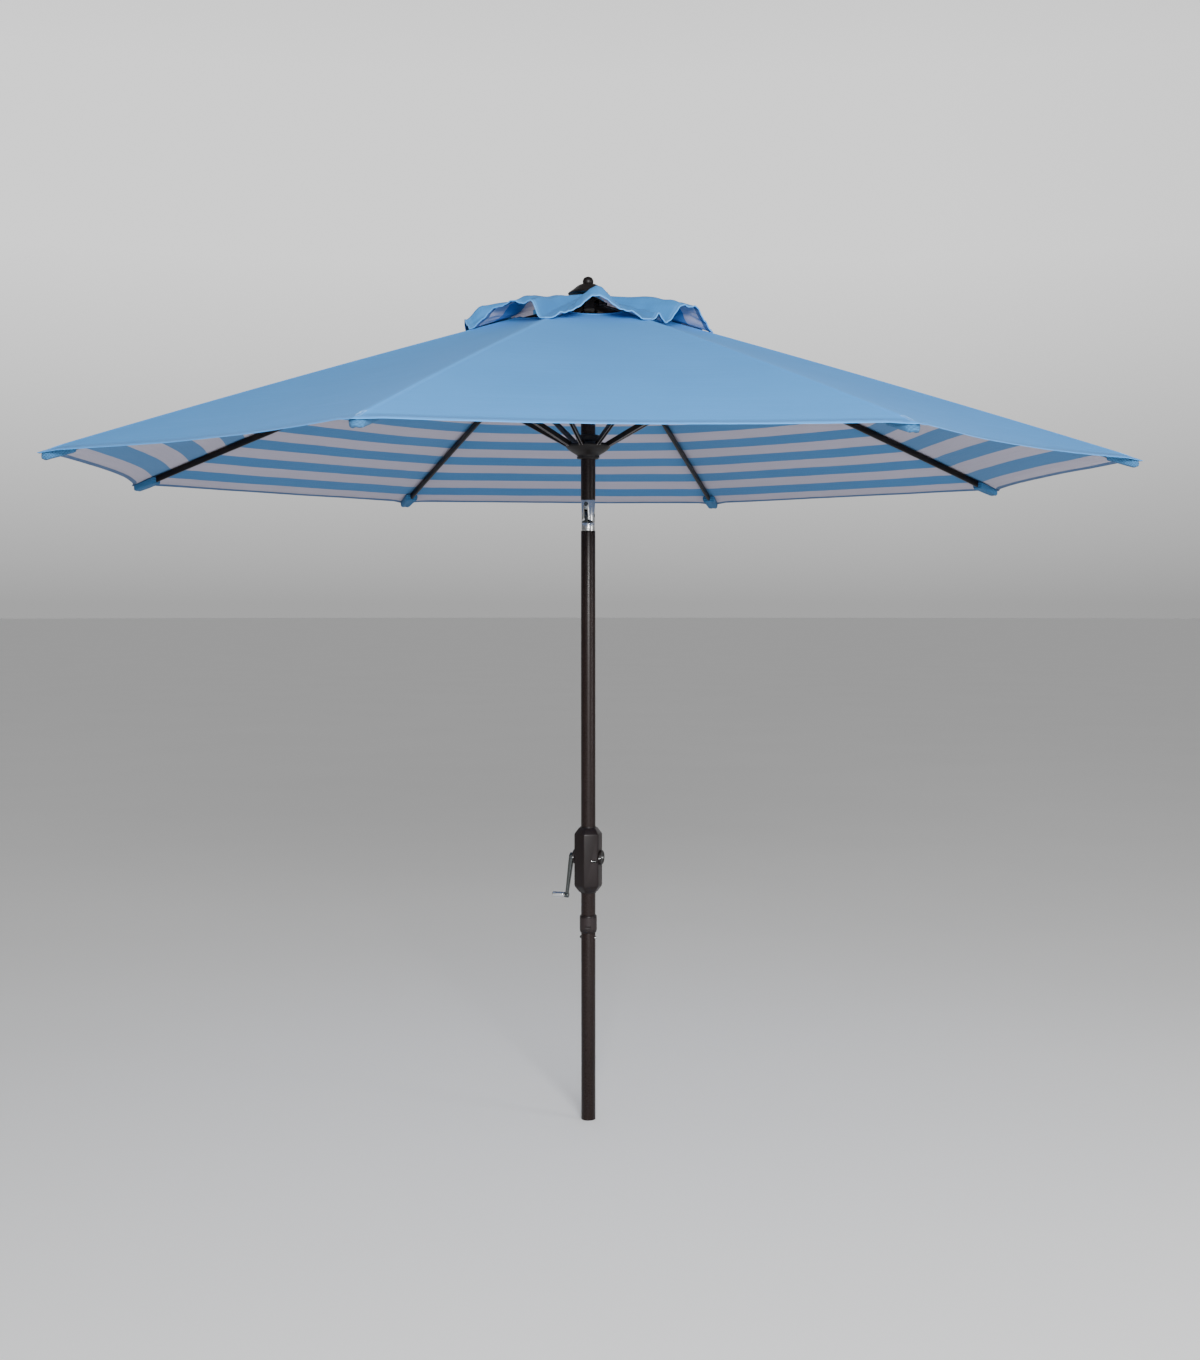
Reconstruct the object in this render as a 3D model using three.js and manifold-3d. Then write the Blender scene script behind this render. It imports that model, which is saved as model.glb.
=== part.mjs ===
// Market umbrella, 2.74 m across: eight ribs, a fabric canopy with a vent cap, a crank lift in the
// pole, and a push-button tilt joint under the runner. It is shown open and upright.
// Units are millimetres. +Z is up, the origin is the centre of the pole's foot, a rib lies along
// each of +X and +Y, and the crank handle is on the -X side.

import * as THREE from 'three';
import { mergeVertices } from 'three/addons/utils/BufferGeometryUtils.js';
import Module from 'manifold-3d';

const wasm = await Module();
wasm.setup();

// ---------------------------------------------------------------- driving dimensions

const GAP = 0.3; // clearance between pieces that touch
const ROUND = 28; // sides of a large round piece
const SMALL_ROUND = 14;
const PIN_ROUND = 8;

// Canopy. Radii run from the pole's axis to the rib line.
const RIBS = 8;
const TIP_RADIUS = 1370;
const HEM_HEIGHT = 1692; // canopy's corners above the foot
const CORNER_LIFT = 15; // canopy's top above its corners, at the rib tips
const CROWN_RISE = 449;
const RIB_BOW = 27;
const FABRIC = 1.5;
const SCALLOP = 46; // how far the hem curves in between two ribs
const HEM_SAG = 10; // how far the fabric hangs between two ribs at the hem
const CANOPY_INNER = 195;

// Vent cap
const VENT_RADIUS = 330;
const VENT_INNER = 15;
const VENT_TOP = 2167.6; // top of the fabric where the finial clamps it
const VENT_LIFT = 72; // how far the loose hem arches up between two ribs
const VENT_CLEARANCE = 5;

// Ribs and struts
const RIB_WIDTH = 10;
const RIB_HEIGHT = 18;
const RIB_WALL = 1.2;
const RIB_CLEARANCE = 1.3; // below the fabric
const RIB_END = 1362;
const PIVOT_RADIUS = 34; // the ribs' hinge circle in the top hub
const HINGE_HOLE = 2.4;
const BRACKET_REACH = 430; // rib hinge to strut bracket, along the rib
const BRACKET_DROP = 17; // rib centre line to strut pivot
const EAR_THICKNESS = 2;
const EAR_RADIUS = 6.5;
const STRUT_WIDTH = 8;
const STRUT_HEIGHT = 14;
const STRUT_WALL = 1.3;
const STRUT_PIN_RADIUS = 2;
const RUNNER_PIVOT_RADIUS = 44;
const RUNNER_PIVOT_HEIGHT = 1776;
const RUNNER_BOTTOM = 1743;

// Pole
const POLE_RADIUS = 19.05;
const POLE_WALL = 1.6;
const POLE_BORE = POLE_RADIUS - POLE_WALL;
const SLEEVE_RADIUS = POLE_BORE - GAP;
const SLEEVE_REACH = 90; // each side of the joint
const JOINT_HEIGHT = 498; // where the lower and middle poles meet, inside the collar
const SNAP_HEIGHT = 486;
const SNAP_HOLE = 4.3;
const HUB_FLOOR = 2095; // lower end of the top hub's socket
const POLE_TOP = 2118;
const PULLEY_HEIGHT = 2074;

// Tilt joint
const TILT_BOTTOM = 1556;
const TILT_TOP = 1637;
const TILT_AXIS = 1596;
const TILT_RADIUS = 18;
const TILT_PIN_RADIUS = 4;
const TONGUE = 7; // half the width of the tongue on the lower piece
const BUTTON_HEIGHT = 1626;
const BUTTON_RADIUS = 5.5;

// Crank
const SHAFT_HEIGHT = 700;
const SHAFT_RADIUS = 4;
const HOUSING_FLATS = 66; // across the flats of the six-sided housing
const HOUSING_BOTTOM = 607;
const HOUSING_TOP = 779;
const HOUSING_CHAMFER = 17;
const HOUSING_WALL = 3;
const BOSS_RADIUS = 19.5;
const BOSS_THICKNESS = 6.5;
const BUSHING_PIN = 2.3;
const CRANK_THROW = 104;
const ARM_THICKNESS = 8;
const ARM_WIDTH = 15;
const ARM_FOOT_X = -64;
const GRIP_LENGTH = 35;
const HUB_BORE = 9.4; // hole for the bushings in the housing and the pole
const SLOT_ANGLE = -60; // face of the housing that has the oval slot
const SLOT_OFFSET = 8.5; // from the middle of that face
const SLOT_HEIGHT = SHAFT_HEIGHT - 12;
const SLOT_RADIUS = 3.6;

// ---------------------------------------------------------------- helpers

const X = new THREE.Vector3(1, 0, 0);
const Y = new THREE.Vector3(0, 1, 0);
const Z = new THREE.Vector3(0, 0, 1);
const LEFT = new THREE.Vector3(-1, 0, 0);
const FRONT = new THREE.Vector3(0, -1, 0);

// A closed mesh with its faces pointing out, made a solid that can be cut and joined.
function solid(geometry) {
  const bare = geometry.clone();
  bare.deleteAttribute('normal');
  bare.deleteAttribute('uv');
  const merged = mergeVertices(bare, 1e-4);
  const points = merged.attributes.position;
  const index = Array.from(merged.index.array);
  if (signedVolume(points, index) < 0) {
    for (let i = 0; i < index.length; i += 3) {
      [index[i + 1], index[i + 2]] = [index[i + 2], index[i + 1]];
    }
  }
  return new wasm.Manifold(new wasm.Mesh({
    numProp: 3,
    vertProperties: new Float32Array(points.array),
    triVerts: new Uint32Array(index),
  }));
}

function signedVolume(points, index) {
  const corners = [0, 1, 2].map(() => new THREE.Vector3());
  let volume = 0;
  for (let i = 0; i < index.length; i += 3) {
    corners.forEach((corner, k) => corner.fromBufferAttribute(points, index[i + k]));
    volume += corners[0].dot(corners[1].clone().cross(corners[2])) / 6;
  }
  return volume;
}

function geometryOf(manifold) {
  const mesh = manifold.getMesh();
  const geometry = new THREE.BufferGeometry();
  geometry.setAttribute('position', new THREE.BufferAttribute(mesh.vertProperties, 3));
  geometry.setIndex(new THREE.BufferAttribute(mesh.triVerts, 1));
  geometry.computeVertexNormals();
  return geometry;
}

// Turned shape about Z from (radius, height) points.
function turned(profile, sides = ROUND) {
  const points = profile.map(([radius, height]) => new THREE.Vector2(radius, height));
  return solid(new THREE.LatheGeometry(points, sides).rotateX(Math.PI / 2));
}

function rod(radius, from, to, sides = SMALL_ROUND) {
  return turned([[0, from], [radius, from], [radius, to], [0, to]], sides);
}

function tube(outer, inner, from, to, sides = ROUND) {
  return turned([[inner, from], [outer, from], [outer, to], [inner, to], [inner, from]], sides);
}

function box(x, y, z) {
  const size = [x, y, z].map(([low, high]) => high - low);
  const centre = [x, y, z].map(([low, high]) => (low + high) / 2);
  return solid(new THREE.BoxGeometry(...size).translate(...centre));
}

// Upright six-sided prism, or a taper of one, given across its flats. A flat faces +X.
function hexagon(flats, from, to, endFlats = flats) {
  const corner = Math.cos(Math.PI / 6);
  const geometry = new THREE.CylinderGeometry(endFlats / 2 / corner, flats / 2 / corner, to - from, 6);
  geometry.rotateX(Math.PI / 2);
  return solid(geometry.translate(0, 0, (from + to) / 2));
}

// Turns a solid made along Z so that it lies along the given direction, then moves it.
function along(manifold, direction, at = [0, 0, 0]) {
  const turn = new THREE.Quaternion().setFromUnitVectors(Z, direction.clone().normalize());
  const matrix = new THREE.Matrix4().makeRotationFromQuaternion(turn);
  matrix.setPosition(...at);
  return manifold.transform(matrix.elements);
}

// A round hole right through the pole along X.
function crossHole(radius, height) {
  return along(rod(radius, -60, 60), X, [0, 0, height]);
}

function union(...solids) {
  return solids.reduce((whole, next) => whole.add(next));
}

function cut(whole, ...tools) {
  return tools.reduce((rest, tool) => rest.subtract(tool), whole);
}

const finishes = {
  bronze: { color: 0x2c211f, roughness: 0.38, metalness: 0.6 },
  rib_bronze: { color: 0x1d1a1b, roughness: 0.42, metalness: 0.6 },
  moulded: { color: 0x1c1718, roughness: 0.5, metalness: 0 },
  chrome: { color: 0xc9ccd0, roughness: 0.12, metalness: 1 },
  steel: { color: 0x8f9396, roughness: 0.3, metalness: 1 },
  canopy: { color: 0x7da3c8, roughness: 0.85, metalness: 0 },
};

function add(group, name, manifold, finish) {
  const mesh = new THREE.Mesh(geometryOf(manifold), new THREE.MeshStandardMaterial(finishes[finish]));
  mesh.name = name;
  group.add(mesh);
}

// ---------------------------------------------------------------- canopy surface

// Height of the canopy's top along a rib.
function crownHeight(radius) {
  const t = radius / TIP_RADIUS;
  return HEM_HEIGHT + CORNER_LIFT + CROWN_RISE * (1 - t) + RIB_BOW * t * (1 - t);
}

// A point between the rib along +X and its neighbours: across is 0 on the rib and 1 or -1
// half-way to the next one, and radius is measured along the rib.
function betweenRibs(radius, across) {
  const step = (2 * Math.PI) / RIBS;
  const share = Math.abs(across) / 2;
  const x = radius * (1 - share + share * Math.cos(step));
  const y = radius * share * Math.sin(step) * Math.sign(across);
  return new THREE.Vector2(x, y);
}

// 0 on the rib, 1 half-way between two ribs.
function midGore(across) {
  return 1 - (1 - Math.abs(across)) ** 2;
}

function canopyPoint(share, across) {
  const inset = (SCALLOP / Math.cos(Math.PI / RIBS)) * midGore(across);
  const radius = CANOPY_INNER + (TIP_RADIUS - inset - CANOPY_INNER) * share;
  const place = betweenRibs(radius, across);
  return new THREE.Vector3(place.x, place.y, crownHeight(radius) - HEM_SAG * share * midGore(across));
}

function ventPoint(share, across) {
  const radius = VENT_INNER + (VENT_RADIUS - VENT_INNER) * share;
  const place = betweenRibs(radius, across);
  const edge = crownHeight(VENT_RADIUS) + VENT_CLEARANCE;
  const arch = VENT_LIFT * share ** 0.8 * midGore(across);
  return new THREE.Vector3(place.x, place.y, VENT_TOP + (edge - VENT_TOP) * share + arch);
}

// Closed sheet of fabric thickness under a surface, with a gap to the next sheet.
function sheet(surface, sidewaysGap, lengthSteps, acrossSteps) {
  const geometry = new THREE.BoxGeometry(1, 2, 1, lengthSteps, acrossSteps, 1);
  const points = geometry.attributes.position;
  for (let i = 0; i < points.count; i += 1) {
    const share = points.getX(i) + 0.5;
    const edge = surface(share, 1).y;
    const across = points.getY(i) * (1 - sidewaysGap / edge);
    const place = surface(share, across);
    points.setXYZ(i, place.x, place.y, place.z - (0.5 - points.getZ(i)) * FABRIC);
  }
  return solid(geometry);
}

// The same kind of sheet, all the way round: a turned ring whose points are moved on to the surface.
function ringSheet(surface, lengthSteps, sides) {
  const shares = Array.from({ length: lengthSteps + 1 }, (_, i) => i / lengthSteps);
  const lower = shares.map((share) => new THREE.Vector2(1 + share, -1));
  const upper = shares.map((share) => new THREE.Vector2(2 - share, 0));
  const geometry = new THREE.LatheGeometry([...lower, ...upper, lower[0]], sides * RIBS);
  const points = geometry.attributes.position;
  const step = (2 * Math.PI) / RIBS;
  for (let i = 0; i < points.count; i += 1) {
    const share = Math.max(Math.hypot(points.getX(i), points.getZ(i)) - 1, 0);
    const side = Math.round((Math.atan2(points.getX(i), points.getZ(i)) / step) * sides) / sides;
    const rib = Math.round(side);
    const place = surface(share, 2 * (side - rib)).applyAxisAngle(Z, rib * step);
    points.setXYZ(i, place.x, place.y, place.z + points.getY(i) * FABRIC);
  }
  return solid(geometry);
}

// ---------------------------------------------------------------- ribs and struts

function ribHeight(radius) {
  const slope = (CROWN_RISE - RIB_BOW) / TIP_RADIUS;
  const half = (RIB_HEIGHT / 2) * Math.hypot(1, slope);
  return crownHeight(radius) - FABRIC - RIB_CLEARANCE - half;
}

const hinge = new THREE.Vector3(PIVOT_RADIUS, 0, ribHeight(PIVOT_RADIUS));
const ribDirection = new THREE.Vector3(RIB_END, 0, ribHeight(RIB_END)).sub(hinge).normalize();
const ribDown = new THREE.Vector3(ribDirection.z, 0, -ribDirection.x);
const bracketRadius = hinge.x + BRACKET_REACH * ribDirection.x;
const bracket = new THREE.Vector3(bracketRadius, 0, ribHeight(bracketRadius));
const strutTop = bracket.addScaledVector(ribDown, BRACKET_DROP);
const strutFoot = new THREE.Vector3(RUNNER_PIVOT_RADIUS, 0, RUNNER_PIVOT_HEIGHT);

// The rib's centre line is part of a parabola, which a quadratic Bezier curve follows exactly.
function ribCurve() {
  const middle = (PIVOT_RADIUS + RIB_END) / 2;
  const startSlope = -(CROWN_RISE - RIB_BOW * (1 - (2 * PIVOT_RADIUS) / TIP_RADIUS)) / TIP_RADIUS;
  const control = new THREE.Vector3(middle, 0, hinge.z + startSlope * (middle - PIVOT_RADIUS));
  const end = new THREE.Vector3(RIB_END, 0, ribHeight(RIB_END));
  return new THREE.QuadraticBezierCurve3(hinge, control, end);
}

function rectangle(width, height) {
  const shape = new THREE.Shape();
  shape.moveTo(-width / 2, -height / 2);
  shape.lineTo(width / 2, -height / 2);
  shape.lineTo(width / 2, height / 2);
  shape.lineTo(-width / 2, height / 2);
  shape.closePath();
  return shape;
}

// A cylinder across the rib, centred on the rib's plane.
function crossPin(radius, width, at, sides = PIN_ROUND) {
  const pin = rod(radius, -width / 2, width / 2, sides);
  return along(pin, Y, at.toArray());
}

function rib() {
  const section = rectangle(RIB_WIDTH, RIB_HEIGHT);
  section.holes.push(rectangle(RIB_WIDTH - 2 * RIB_WALL, RIB_HEIGHT - 2 * RIB_WALL));
  const bar = solid(new THREE.ExtrudeGeometry(section, { steps: 4, extrudePath: ribCurve() }));
  const eye = crossPin(RIB_HEIGHT / 2, RIB_WIDTH, hinge, 10);
  const ears = [-1, 1].map((side) => {
    const inner = STRUT_WIDTH / 2 + GAP;
    const ear = crossPin(EAR_RADIUS, EAR_THICKNESS, strutTop);
    const half = EAR_THICKNESS / 2;
    const plate = box([-EAR_RADIUS, EAR_RADIUS], [-half, half], [0, BRACKET_DROP]);
    const lean = Math.atan2(-ribDirection.z, ribDirection.x);
    const turn = new THREE.Matrix4().makeRotationY(lean);
    turn.setPosition(strutTop);
    return ear.add(plate.transform(turn.elements)).translate([0, side * (inner + half), 0]);
  });
  const pin = crossPin(STRUT_PIN_RADIUS, STRUT_WIDTH + 2 * EAR_THICKNESS + 2 * GAP, strutTop);
  const hole = crossPin(HINGE_HOLE, 2 * RIB_WIDTH, hinge);
  return cut(union(bar, eye, ...ears, pin), hole);
}

// U-shaped channel, open below, with rounded ends that turn on the two pivots.
function strut() {
  const length = strutTop.distanceTo(strutFoot);
  const half = STRUT_HEIGHT / 2;
  const bar = box([-STRUT_WIDTH / 2, STRUT_WIDTH / 2], [-half, half], [0, length]);
  const ends = [0, length].map((at) => (
    along(rod(half, -STRUT_WIDTH / 2, STRUT_WIDTH / 2, 10), X, [0, 0, at])
  ));
  const inside = STRUT_WIDTH / 2 - STRUT_WALL;
  const channel = box([-inside, inside], [-half - 1, half - STRUT_WALL], [-half - 1, length + half + 1]);
  const holes = [0, length].map((at) => (
    along(rod(STRUT_PIN_RADIUS + 0.25, -STRUT_WIDTH, STRUT_WIDTH, PIN_ROUND), X, [0, 0, at])
  ));
  const made = cut(union(bar, ...ends), channel, ...holes);
  const up = strutTop.clone().sub(strutFoot).normalize();
  const side = FRONT;
  const matrix = new THREE.Matrix4().makeBasis(side, new THREE.Vector3().crossVectors(up, side), up);
  matrix.setPosition(strutFoot);
  return made.transform(matrix.elements);
}

// ---------------------------------------------------------------- top hub, runner, finial

function radialSlots(width, from, to, low, high) {
  return Array.from({ length: RIBS }, (_, k) => (
    box([from, to], [-width / 2, width / 2], [low, high]).rotate([0, 0, (360 / RIBS) * k])
  ));
}

function ring(radius, wire) {
  return solid(new THREE.TorusGeometry(radius, wire, 6, 40)).translate([0, 0, hinge.z]);
}

function topHub() {
  const roof = hinge.z + 13;
  const body = turned([
    [POLE_RADIUS + GAP, HUB_FLOOR], [24, HUB_FLOOR], [24, hinge.z - 22], [46, hinge.z - 16],
    [50, hinge.z - 10], [50, roof + 3], [46, roof + 6], [13, roof + 6], [13, 2166], [6.4, 2166],
    [6.4, POLE_TOP + 6], [POLE_RADIUS - 3, POLE_TOP + 6], [POLE_RADIUS - 3, POLE_TOP + GAP],
    [POLE_RADIUS + GAP, POLE_TOP + GAP], [POLE_RADIUS + GAP, HUB_FLOOR],
  ]);
  const slots = radialSlots(RIB_WIDTH + 1, 24.4, 80, hinge.z - 40, roof);
  return cut(body, ...slots, ring(PIVOT_RADIUS, 2));
}

function runner() {
  const low = RUNNER_BOTTOM;
  const body = turned([
    [20.7, low], [27, low], [28, low + 1], [28, low + 9], [38, low + 15], [50, low + 23],
    [57, low + 30], [58.5, low + 34], [57.5, low + 38], [54, low + 40], [40, low + 42],
    [31, low + 47], [31, low + 60], [29, low + 62], [20.7, low + 62], [20.7, low],
  ]);
  return cut(body, ...radialSlots(STRUT_WIDTH + 2, 33.5, 80, low - 10, low + 80));
}

function runnerScrew(side) {
  const head = turned([[0, 28.4], [3.6, 28.4], [3.2, 30.6], [0, 31.2]], 12);
  return along(head, new THREE.Vector3(side, 0, 0), [0, 0, RUNNER_BOTTOM + 4.7]);
}

function finial() {
  const knob = [];
  for (let turn = -60; turn <= 90; turn += 30) {
    const angle = THREE.MathUtils.degToRad(turn);
    knob.push([14 * Math.cos(angle), 2201 + 14 * Math.sin(angle)]);
  }
  knob[knob.length - 1][0] = 0;
  return turned([
    [0, 2140], [6, 2140], [6, 2168.4], [50, 2168.4], [52.5, 2169.5], [52, 2172], [40, 2180],
    [27, 2190.5], [14, 2195], [8, 2196], ...knob.filter(([, height]) => height > 2196),
  ]);
}

function pulley() {
  const wheel = turned([
    [2.6, -4], [11, -4], [11, -2.8], [9, -0.8], [9, 0.8], [11, 2.8], [11, 4], [2.6, 4], [2.6, -4],
  ], SMALL_ROUND);
  return along(wheel, X, [0, 0, PULLEY_HEIGHT]);
}

function upperPole() {
  const cordSlot = box([-3, 3], [10, 30], [PULLEY_HEIGHT - 30, PULLEY_HEIGHT + 8]);
  return cut(tube(POLE_RADIUS, POLE_BORE, TILT_TOP, POLE_TOP), cordSlot, crossHole(2.4, PULLEY_HEIGHT));
}

// ---------------------------------------------------------------- tilt joint

// Way for the lifting cord through the tilt joint.
function cordHole() {
  return rod(3, TILT_BOTTOM - 40, TILT_TOP + 40, 12);
}

// Lower piece: a plug in the middle pole, a visible collar, and a tongue with a round top.
function tiltBase() {
  const plug = rod(POLE_BORE - GAP, TILT_BOTTOM - 30, TILT_BOTTOM + 1, ROUND);
  const collar = rod(TILT_RADIUS, TILT_BOTTOM + GAP, TILT_AXIS - 20, ROUND);
  const tongueRound = along(rod(17, -TONGUE, TONGUE, ROUND), X, [0, 0, TILT_AXIS]);
  const tongueStem = box([-TONGUE, TONGUE], [-16.5, 16.5], [TILT_AXIS - 24, TILT_AXIS]);
  const inside = rod(TILT_RADIUS, TILT_BOTTOM, TILT_AXIS + 30, ROUND);
  const tongue = union(tongueRound, tongueStem).intersect(inside);
  return cut(union(plug, collar, tongue), crossHole(TILT_PIN_RADIUS + GAP, TILT_AXIS), cordHole());
}

// Upper piece: two cheeks with round ends beside the tongue, and a plug in the upper pole.
function tiltFork() {
  const crotch = TILT_AXIS + 18.5;
  const body = rod(TILT_RADIUS, TILT_AXIS - 18, TILT_TOP - GAP, ROUND);
  const outline = union(
    along(rod(TILT_RADIUS, -20, 20, ROUND), X, [0, 0, TILT_AXIS]),
    box([-20, 20], [-20, 20], [TILT_AXIS, TILT_TOP]),
  );
  const slot = box([-TONGUE - GAP, TONGUE + GAP], [-30, 30], [TILT_AXIS - 40, crotch]);
  const plug = rod(POLE_BORE - GAP, TILT_TOP - 1, TILT_TOP + 30, ROUND);
  const buttonBore = along(rod(BUTTON_RADIUS + GAP, 6, 30), FRONT, [0, 0, BUTTON_HEIGHT]);
  const whole = union(cut(body.intersect(outline), slot), plug);
  return cut(whole, crossHole(TILT_PIN_RADIUS + GAP, TILT_AXIS), buttonBore, cordHole());
}

function tiltButton() {
  const rim = BUTTON_RADIUS - 0.9;
  const cap = turned([
    [0, 11], [BUTTON_RADIUS, 11], [BUTTON_RADIUS, 18.4], [rim, 19.2], [0, 19.4],
  ], SMALL_ROUND);
  return along(cap, FRONT, [0, 0, BUTTON_HEIGHT]);
}

function tiltSpring() {
  const sleeve = tube(4, 3, 6.4, 10.7, 12);
  return along(sleeve, FRONT, [0, 0, BUTTON_HEIGHT]);
}

// ---------------------------------------------------------------- crank

function housing() {
  const slope = 2 * POLE_RADIUS + 5;
  const shape = (grow, low, high) => union(
    hexagon(HOUSING_FLATS + grow, low + HOUSING_CHAMFER, high - HOUSING_CHAMFER),
    hexagon(slope + grow, low, low + HOUSING_CHAMFER, HOUSING_FLATS + grow),
    hexagon(HOUSING_FLATS + grow, high - HOUSING_CHAMFER, high, slope + grow),
  );
  const skin = shape(0, HOUSING_BOTTOM, HOUSING_TOP);
  const hollow = shape(-2 * HOUSING_WALL, HOUSING_BOTTOM + 5, HOUSING_TOP - 5);
  const bore = rod(POLE_RADIUS + GAP, HOUSING_BOTTOM - 10, HOUSING_TOP + 10, ROUND);
  return cut(skin, hollow, bore, crossHole(HUB_BORE, SHAFT_HEIGHT));
}

// The oval slot is on a front face of the housing, to the right of its front corner.
const slotNormal = new THREE.Vector3(1, 0, 0).applyAxisAngle(Z, THREE.MathUtils.degToRad(SLOT_ANGLE));
const slotTangent = new THREE.Vector3(-slotNormal.y, slotNormal.x, 0);

function slotPoint(depth) {
  const place = slotNormal.clone().multiplyScalar(depth).addScaledVector(slotTangent, SLOT_OFFSET);
  return place.setZ(SLOT_HEIGHT);
}

function frontHousing() {
  const front = box([-60, 60], [-60, -GAP / 2], [HOUSING_BOTTOM - 10, HOUSING_TOP + 10]);
  const ends = [-4, 4].map((side) => {
    const at = slotPoint(0).addScaledVector(slotTangent, side);
    return along(rod(SLOT_RADIUS, 26, 40), slotNormal, at.toArray());
  });
  const bridge = box([-4, 4], [-SLOT_RADIUS, SLOT_RADIUS], [26, 40]);
  const basis = new THREE.Matrix4().makeBasis(slotTangent, Z, slotNormal);
  basis.setPosition(slotPoint(0));
  return cut(housing().intersect(front), ...ends, bridge.transform(basis.elements));
}

function backHousing() {
  return housing().intersect(box([-60, 60], [GAP / 2, 60], [HOUSING_BOTTOM - 10, HOUSING_TOP + 10]));
}

function pawlPin() {
  const at = slotPoint(HOUSING_FLATS / 2 - HOUSING_WALL - 2.4);
  return along(rod(1.9, -7, 7, 12), slotTangent, at.toArray());
}

const flatX = HOUSING_FLATS / 2;

// Round bearing with its spigot through the housing and into the pole.
function bushing(side) {
  const outer = flatX + GAP;
  const face = outer + BOSS_THICKNESS;
  const bore = SHAFT_RADIUS + 0.15;
  const spigot = HUB_BORE - 0.4;
  const body = turned([
    [bore, POLE_BORE + 0.5], [spigot, POLE_BORE + 0.5], [spigot, outer], [BOSS_RADIUS, outer],
    [BOSS_RADIUS, face - 1.5], [BOSS_RADIUS - 2.5, face], [bore, face], [bore, POLE_BORE + 0.5],
  ]);
  const pinHole = along(rod(BUSHING_PIN + GAP, 12, 30, 12), FRONT, bushingPinPlace(side));
  return cut(along(body, new THREE.Vector3(side, 0, 0), [0, 0, SHAFT_HEIGHT]), pinHole);
}

function bushingPinPlace(side) {
  return [side * (flatX + GAP + 3), 0, SHAFT_HEIGHT];
}

function bushingPin(side) {
  return along(rod(BUSHING_PIN, 12.3, BOSS_RADIUS + 1, 12), FRONT, bushingPinPlace(side));
}

function middlePole() {
  const pole = tube(POLE_RADIUS, POLE_BORE, JOINT_HEIGHT + GAP, TILT_BOTTOM);
  return cut(pole, crossHole(HUB_BORE, SHAFT_HEIGHT));
}

const ARM_HUB_X = -(flatX + GAP + BOSS_THICKNESS + 1);
const gripHeight = SHAFT_HEIGHT - CRANK_THROW;

// Bent arm: a hub on the shaft, a bar that leans outwards, and a knuckle with the grip's pin.
function crankArm() {
  const reach = ARM_THICKNESS + 1;
  const hub = along(rod(10, 0, reach), LEFT, [ARM_HUB_X, 0, SHAFT_HEIGHT]);
  const knuckle = along(rod(8, 0, reach), LEFT, [ARM_FOOT_X + reach, 0, gripHeight]);
  const side = new THREE.Shape();
  side.moveTo(ARM_HUB_X, SHAFT_HEIGHT + 4);
  side.lineTo(ARM_HUB_X - ARM_THICKNESS, SHAFT_HEIGHT + 4);
  side.lineTo(ARM_FOOT_X, gripHeight);
  side.lineTo(ARM_FOOT_X + ARM_THICKNESS, gripHeight);
  side.closePath();
  const bar = new THREE.ExtrudeGeometry(side, { depth: ARM_WIDTH, bevelEnabled: false });
  bar.rotateX(Math.PI / 2).translate(0, ARM_WIDTH / 2, 0);
  const pin = along(rod(3, 0, GRIP_LENGTH + 3), LEFT, [ARM_FOOT_X + 1, 0, gripHeight]);
  const head = along(rod(5, 0, 2), LEFT, [ARM_FOOT_X - GRIP_LENGTH - 1, 0, gripHeight]);
  return cut(union(hub, knuckle, solid(bar), pin, head), crossHole(SHAFT_RADIUS + GAP, SHAFT_HEIGHT));
}

function crankGrip() {
  const end = GRIP_LENGTH + 0.4;
  const sleeve = turned([
    [3.3, 0.5], [7, 0.5], [8, 1.5], [8, end - 3.4], [7.4, end - 1.4], [6, end], [3.3, end], [3.3, 0.5],
  ], 24);
  return along(sleeve, LEFT, [ARM_FOOT_X, 0, gripHeight]);
}

function crankAxle() {
  return along(rod(SHAFT_RADIUS, ARM_HUB_X - 8, -ARM_HUB_X), X, [0, 0, SHAFT_HEIGHT]);
}

function crankSpool() {
  const bore = SHAFT_RADIUS + GAP;
  const drum = turned([
    [bore, -11], [12.4, -11], [12.4, -9.5], [9.3, -8], [9.3, 8], [12.4, 9.5], [12.4, 11],
    [bore, 11], [bore, -11],
  ], 24);
  return along(drum, X, [0, 0, SHAFT_HEIGHT]);
}

// ---------------------------------------------------------------- lower pole and its coupling

function lowerPole() {
  return cut(tube(POLE_RADIUS, POLE_BORE, 0, JOINT_HEIGHT), crossHole(SNAP_HOLE, SNAP_HEIGHT));
}

function footPlug() {
  return turned([[0, 0], [SLEEVE_RADIUS, 0], [SLEEVE_RADIUS, 25], [12, 25], [12, 4], [0, 4]]);
}

function poleSleeve() {
  const low = JOINT_HEIGHT - SLEEVE_REACH;
  const high = JOINT_HEIGHT + SLEEVE_REACH;
  const sleeve = tube(SLEEVE_RADIUS, SLEEVE_RADIUS - POLE_WALL, low, high);
  return cut(sleeve, crossHole(SNAP_HOLE, SNAP_HEIGHT));
}

function collar() {
  const inner = POLE_RADIUS + GAP;
  const body = turned([
    [inner, 500], [20.8, 500], [22, 503], [22.7, 508], [22.7, 541], [21.6, 546], [inner, 546],
    [inner, 500],
  ]);
  const window = box([21, 26], [-8.5, 8.5], [511, 519]).rotate([0, 0, -72]);
  return body.subtract(window);
}

function snapButton(side) {
  const pin = turned([[0, 12], [4, 12], [4, 21], [3.2, 22.2], [0, 22.8]], SMALL_ROUND);
  return along(pin, new THREE.Vector3(side, 0, 0), [0, 0, SNAP_HEIGHT]);
}

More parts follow.
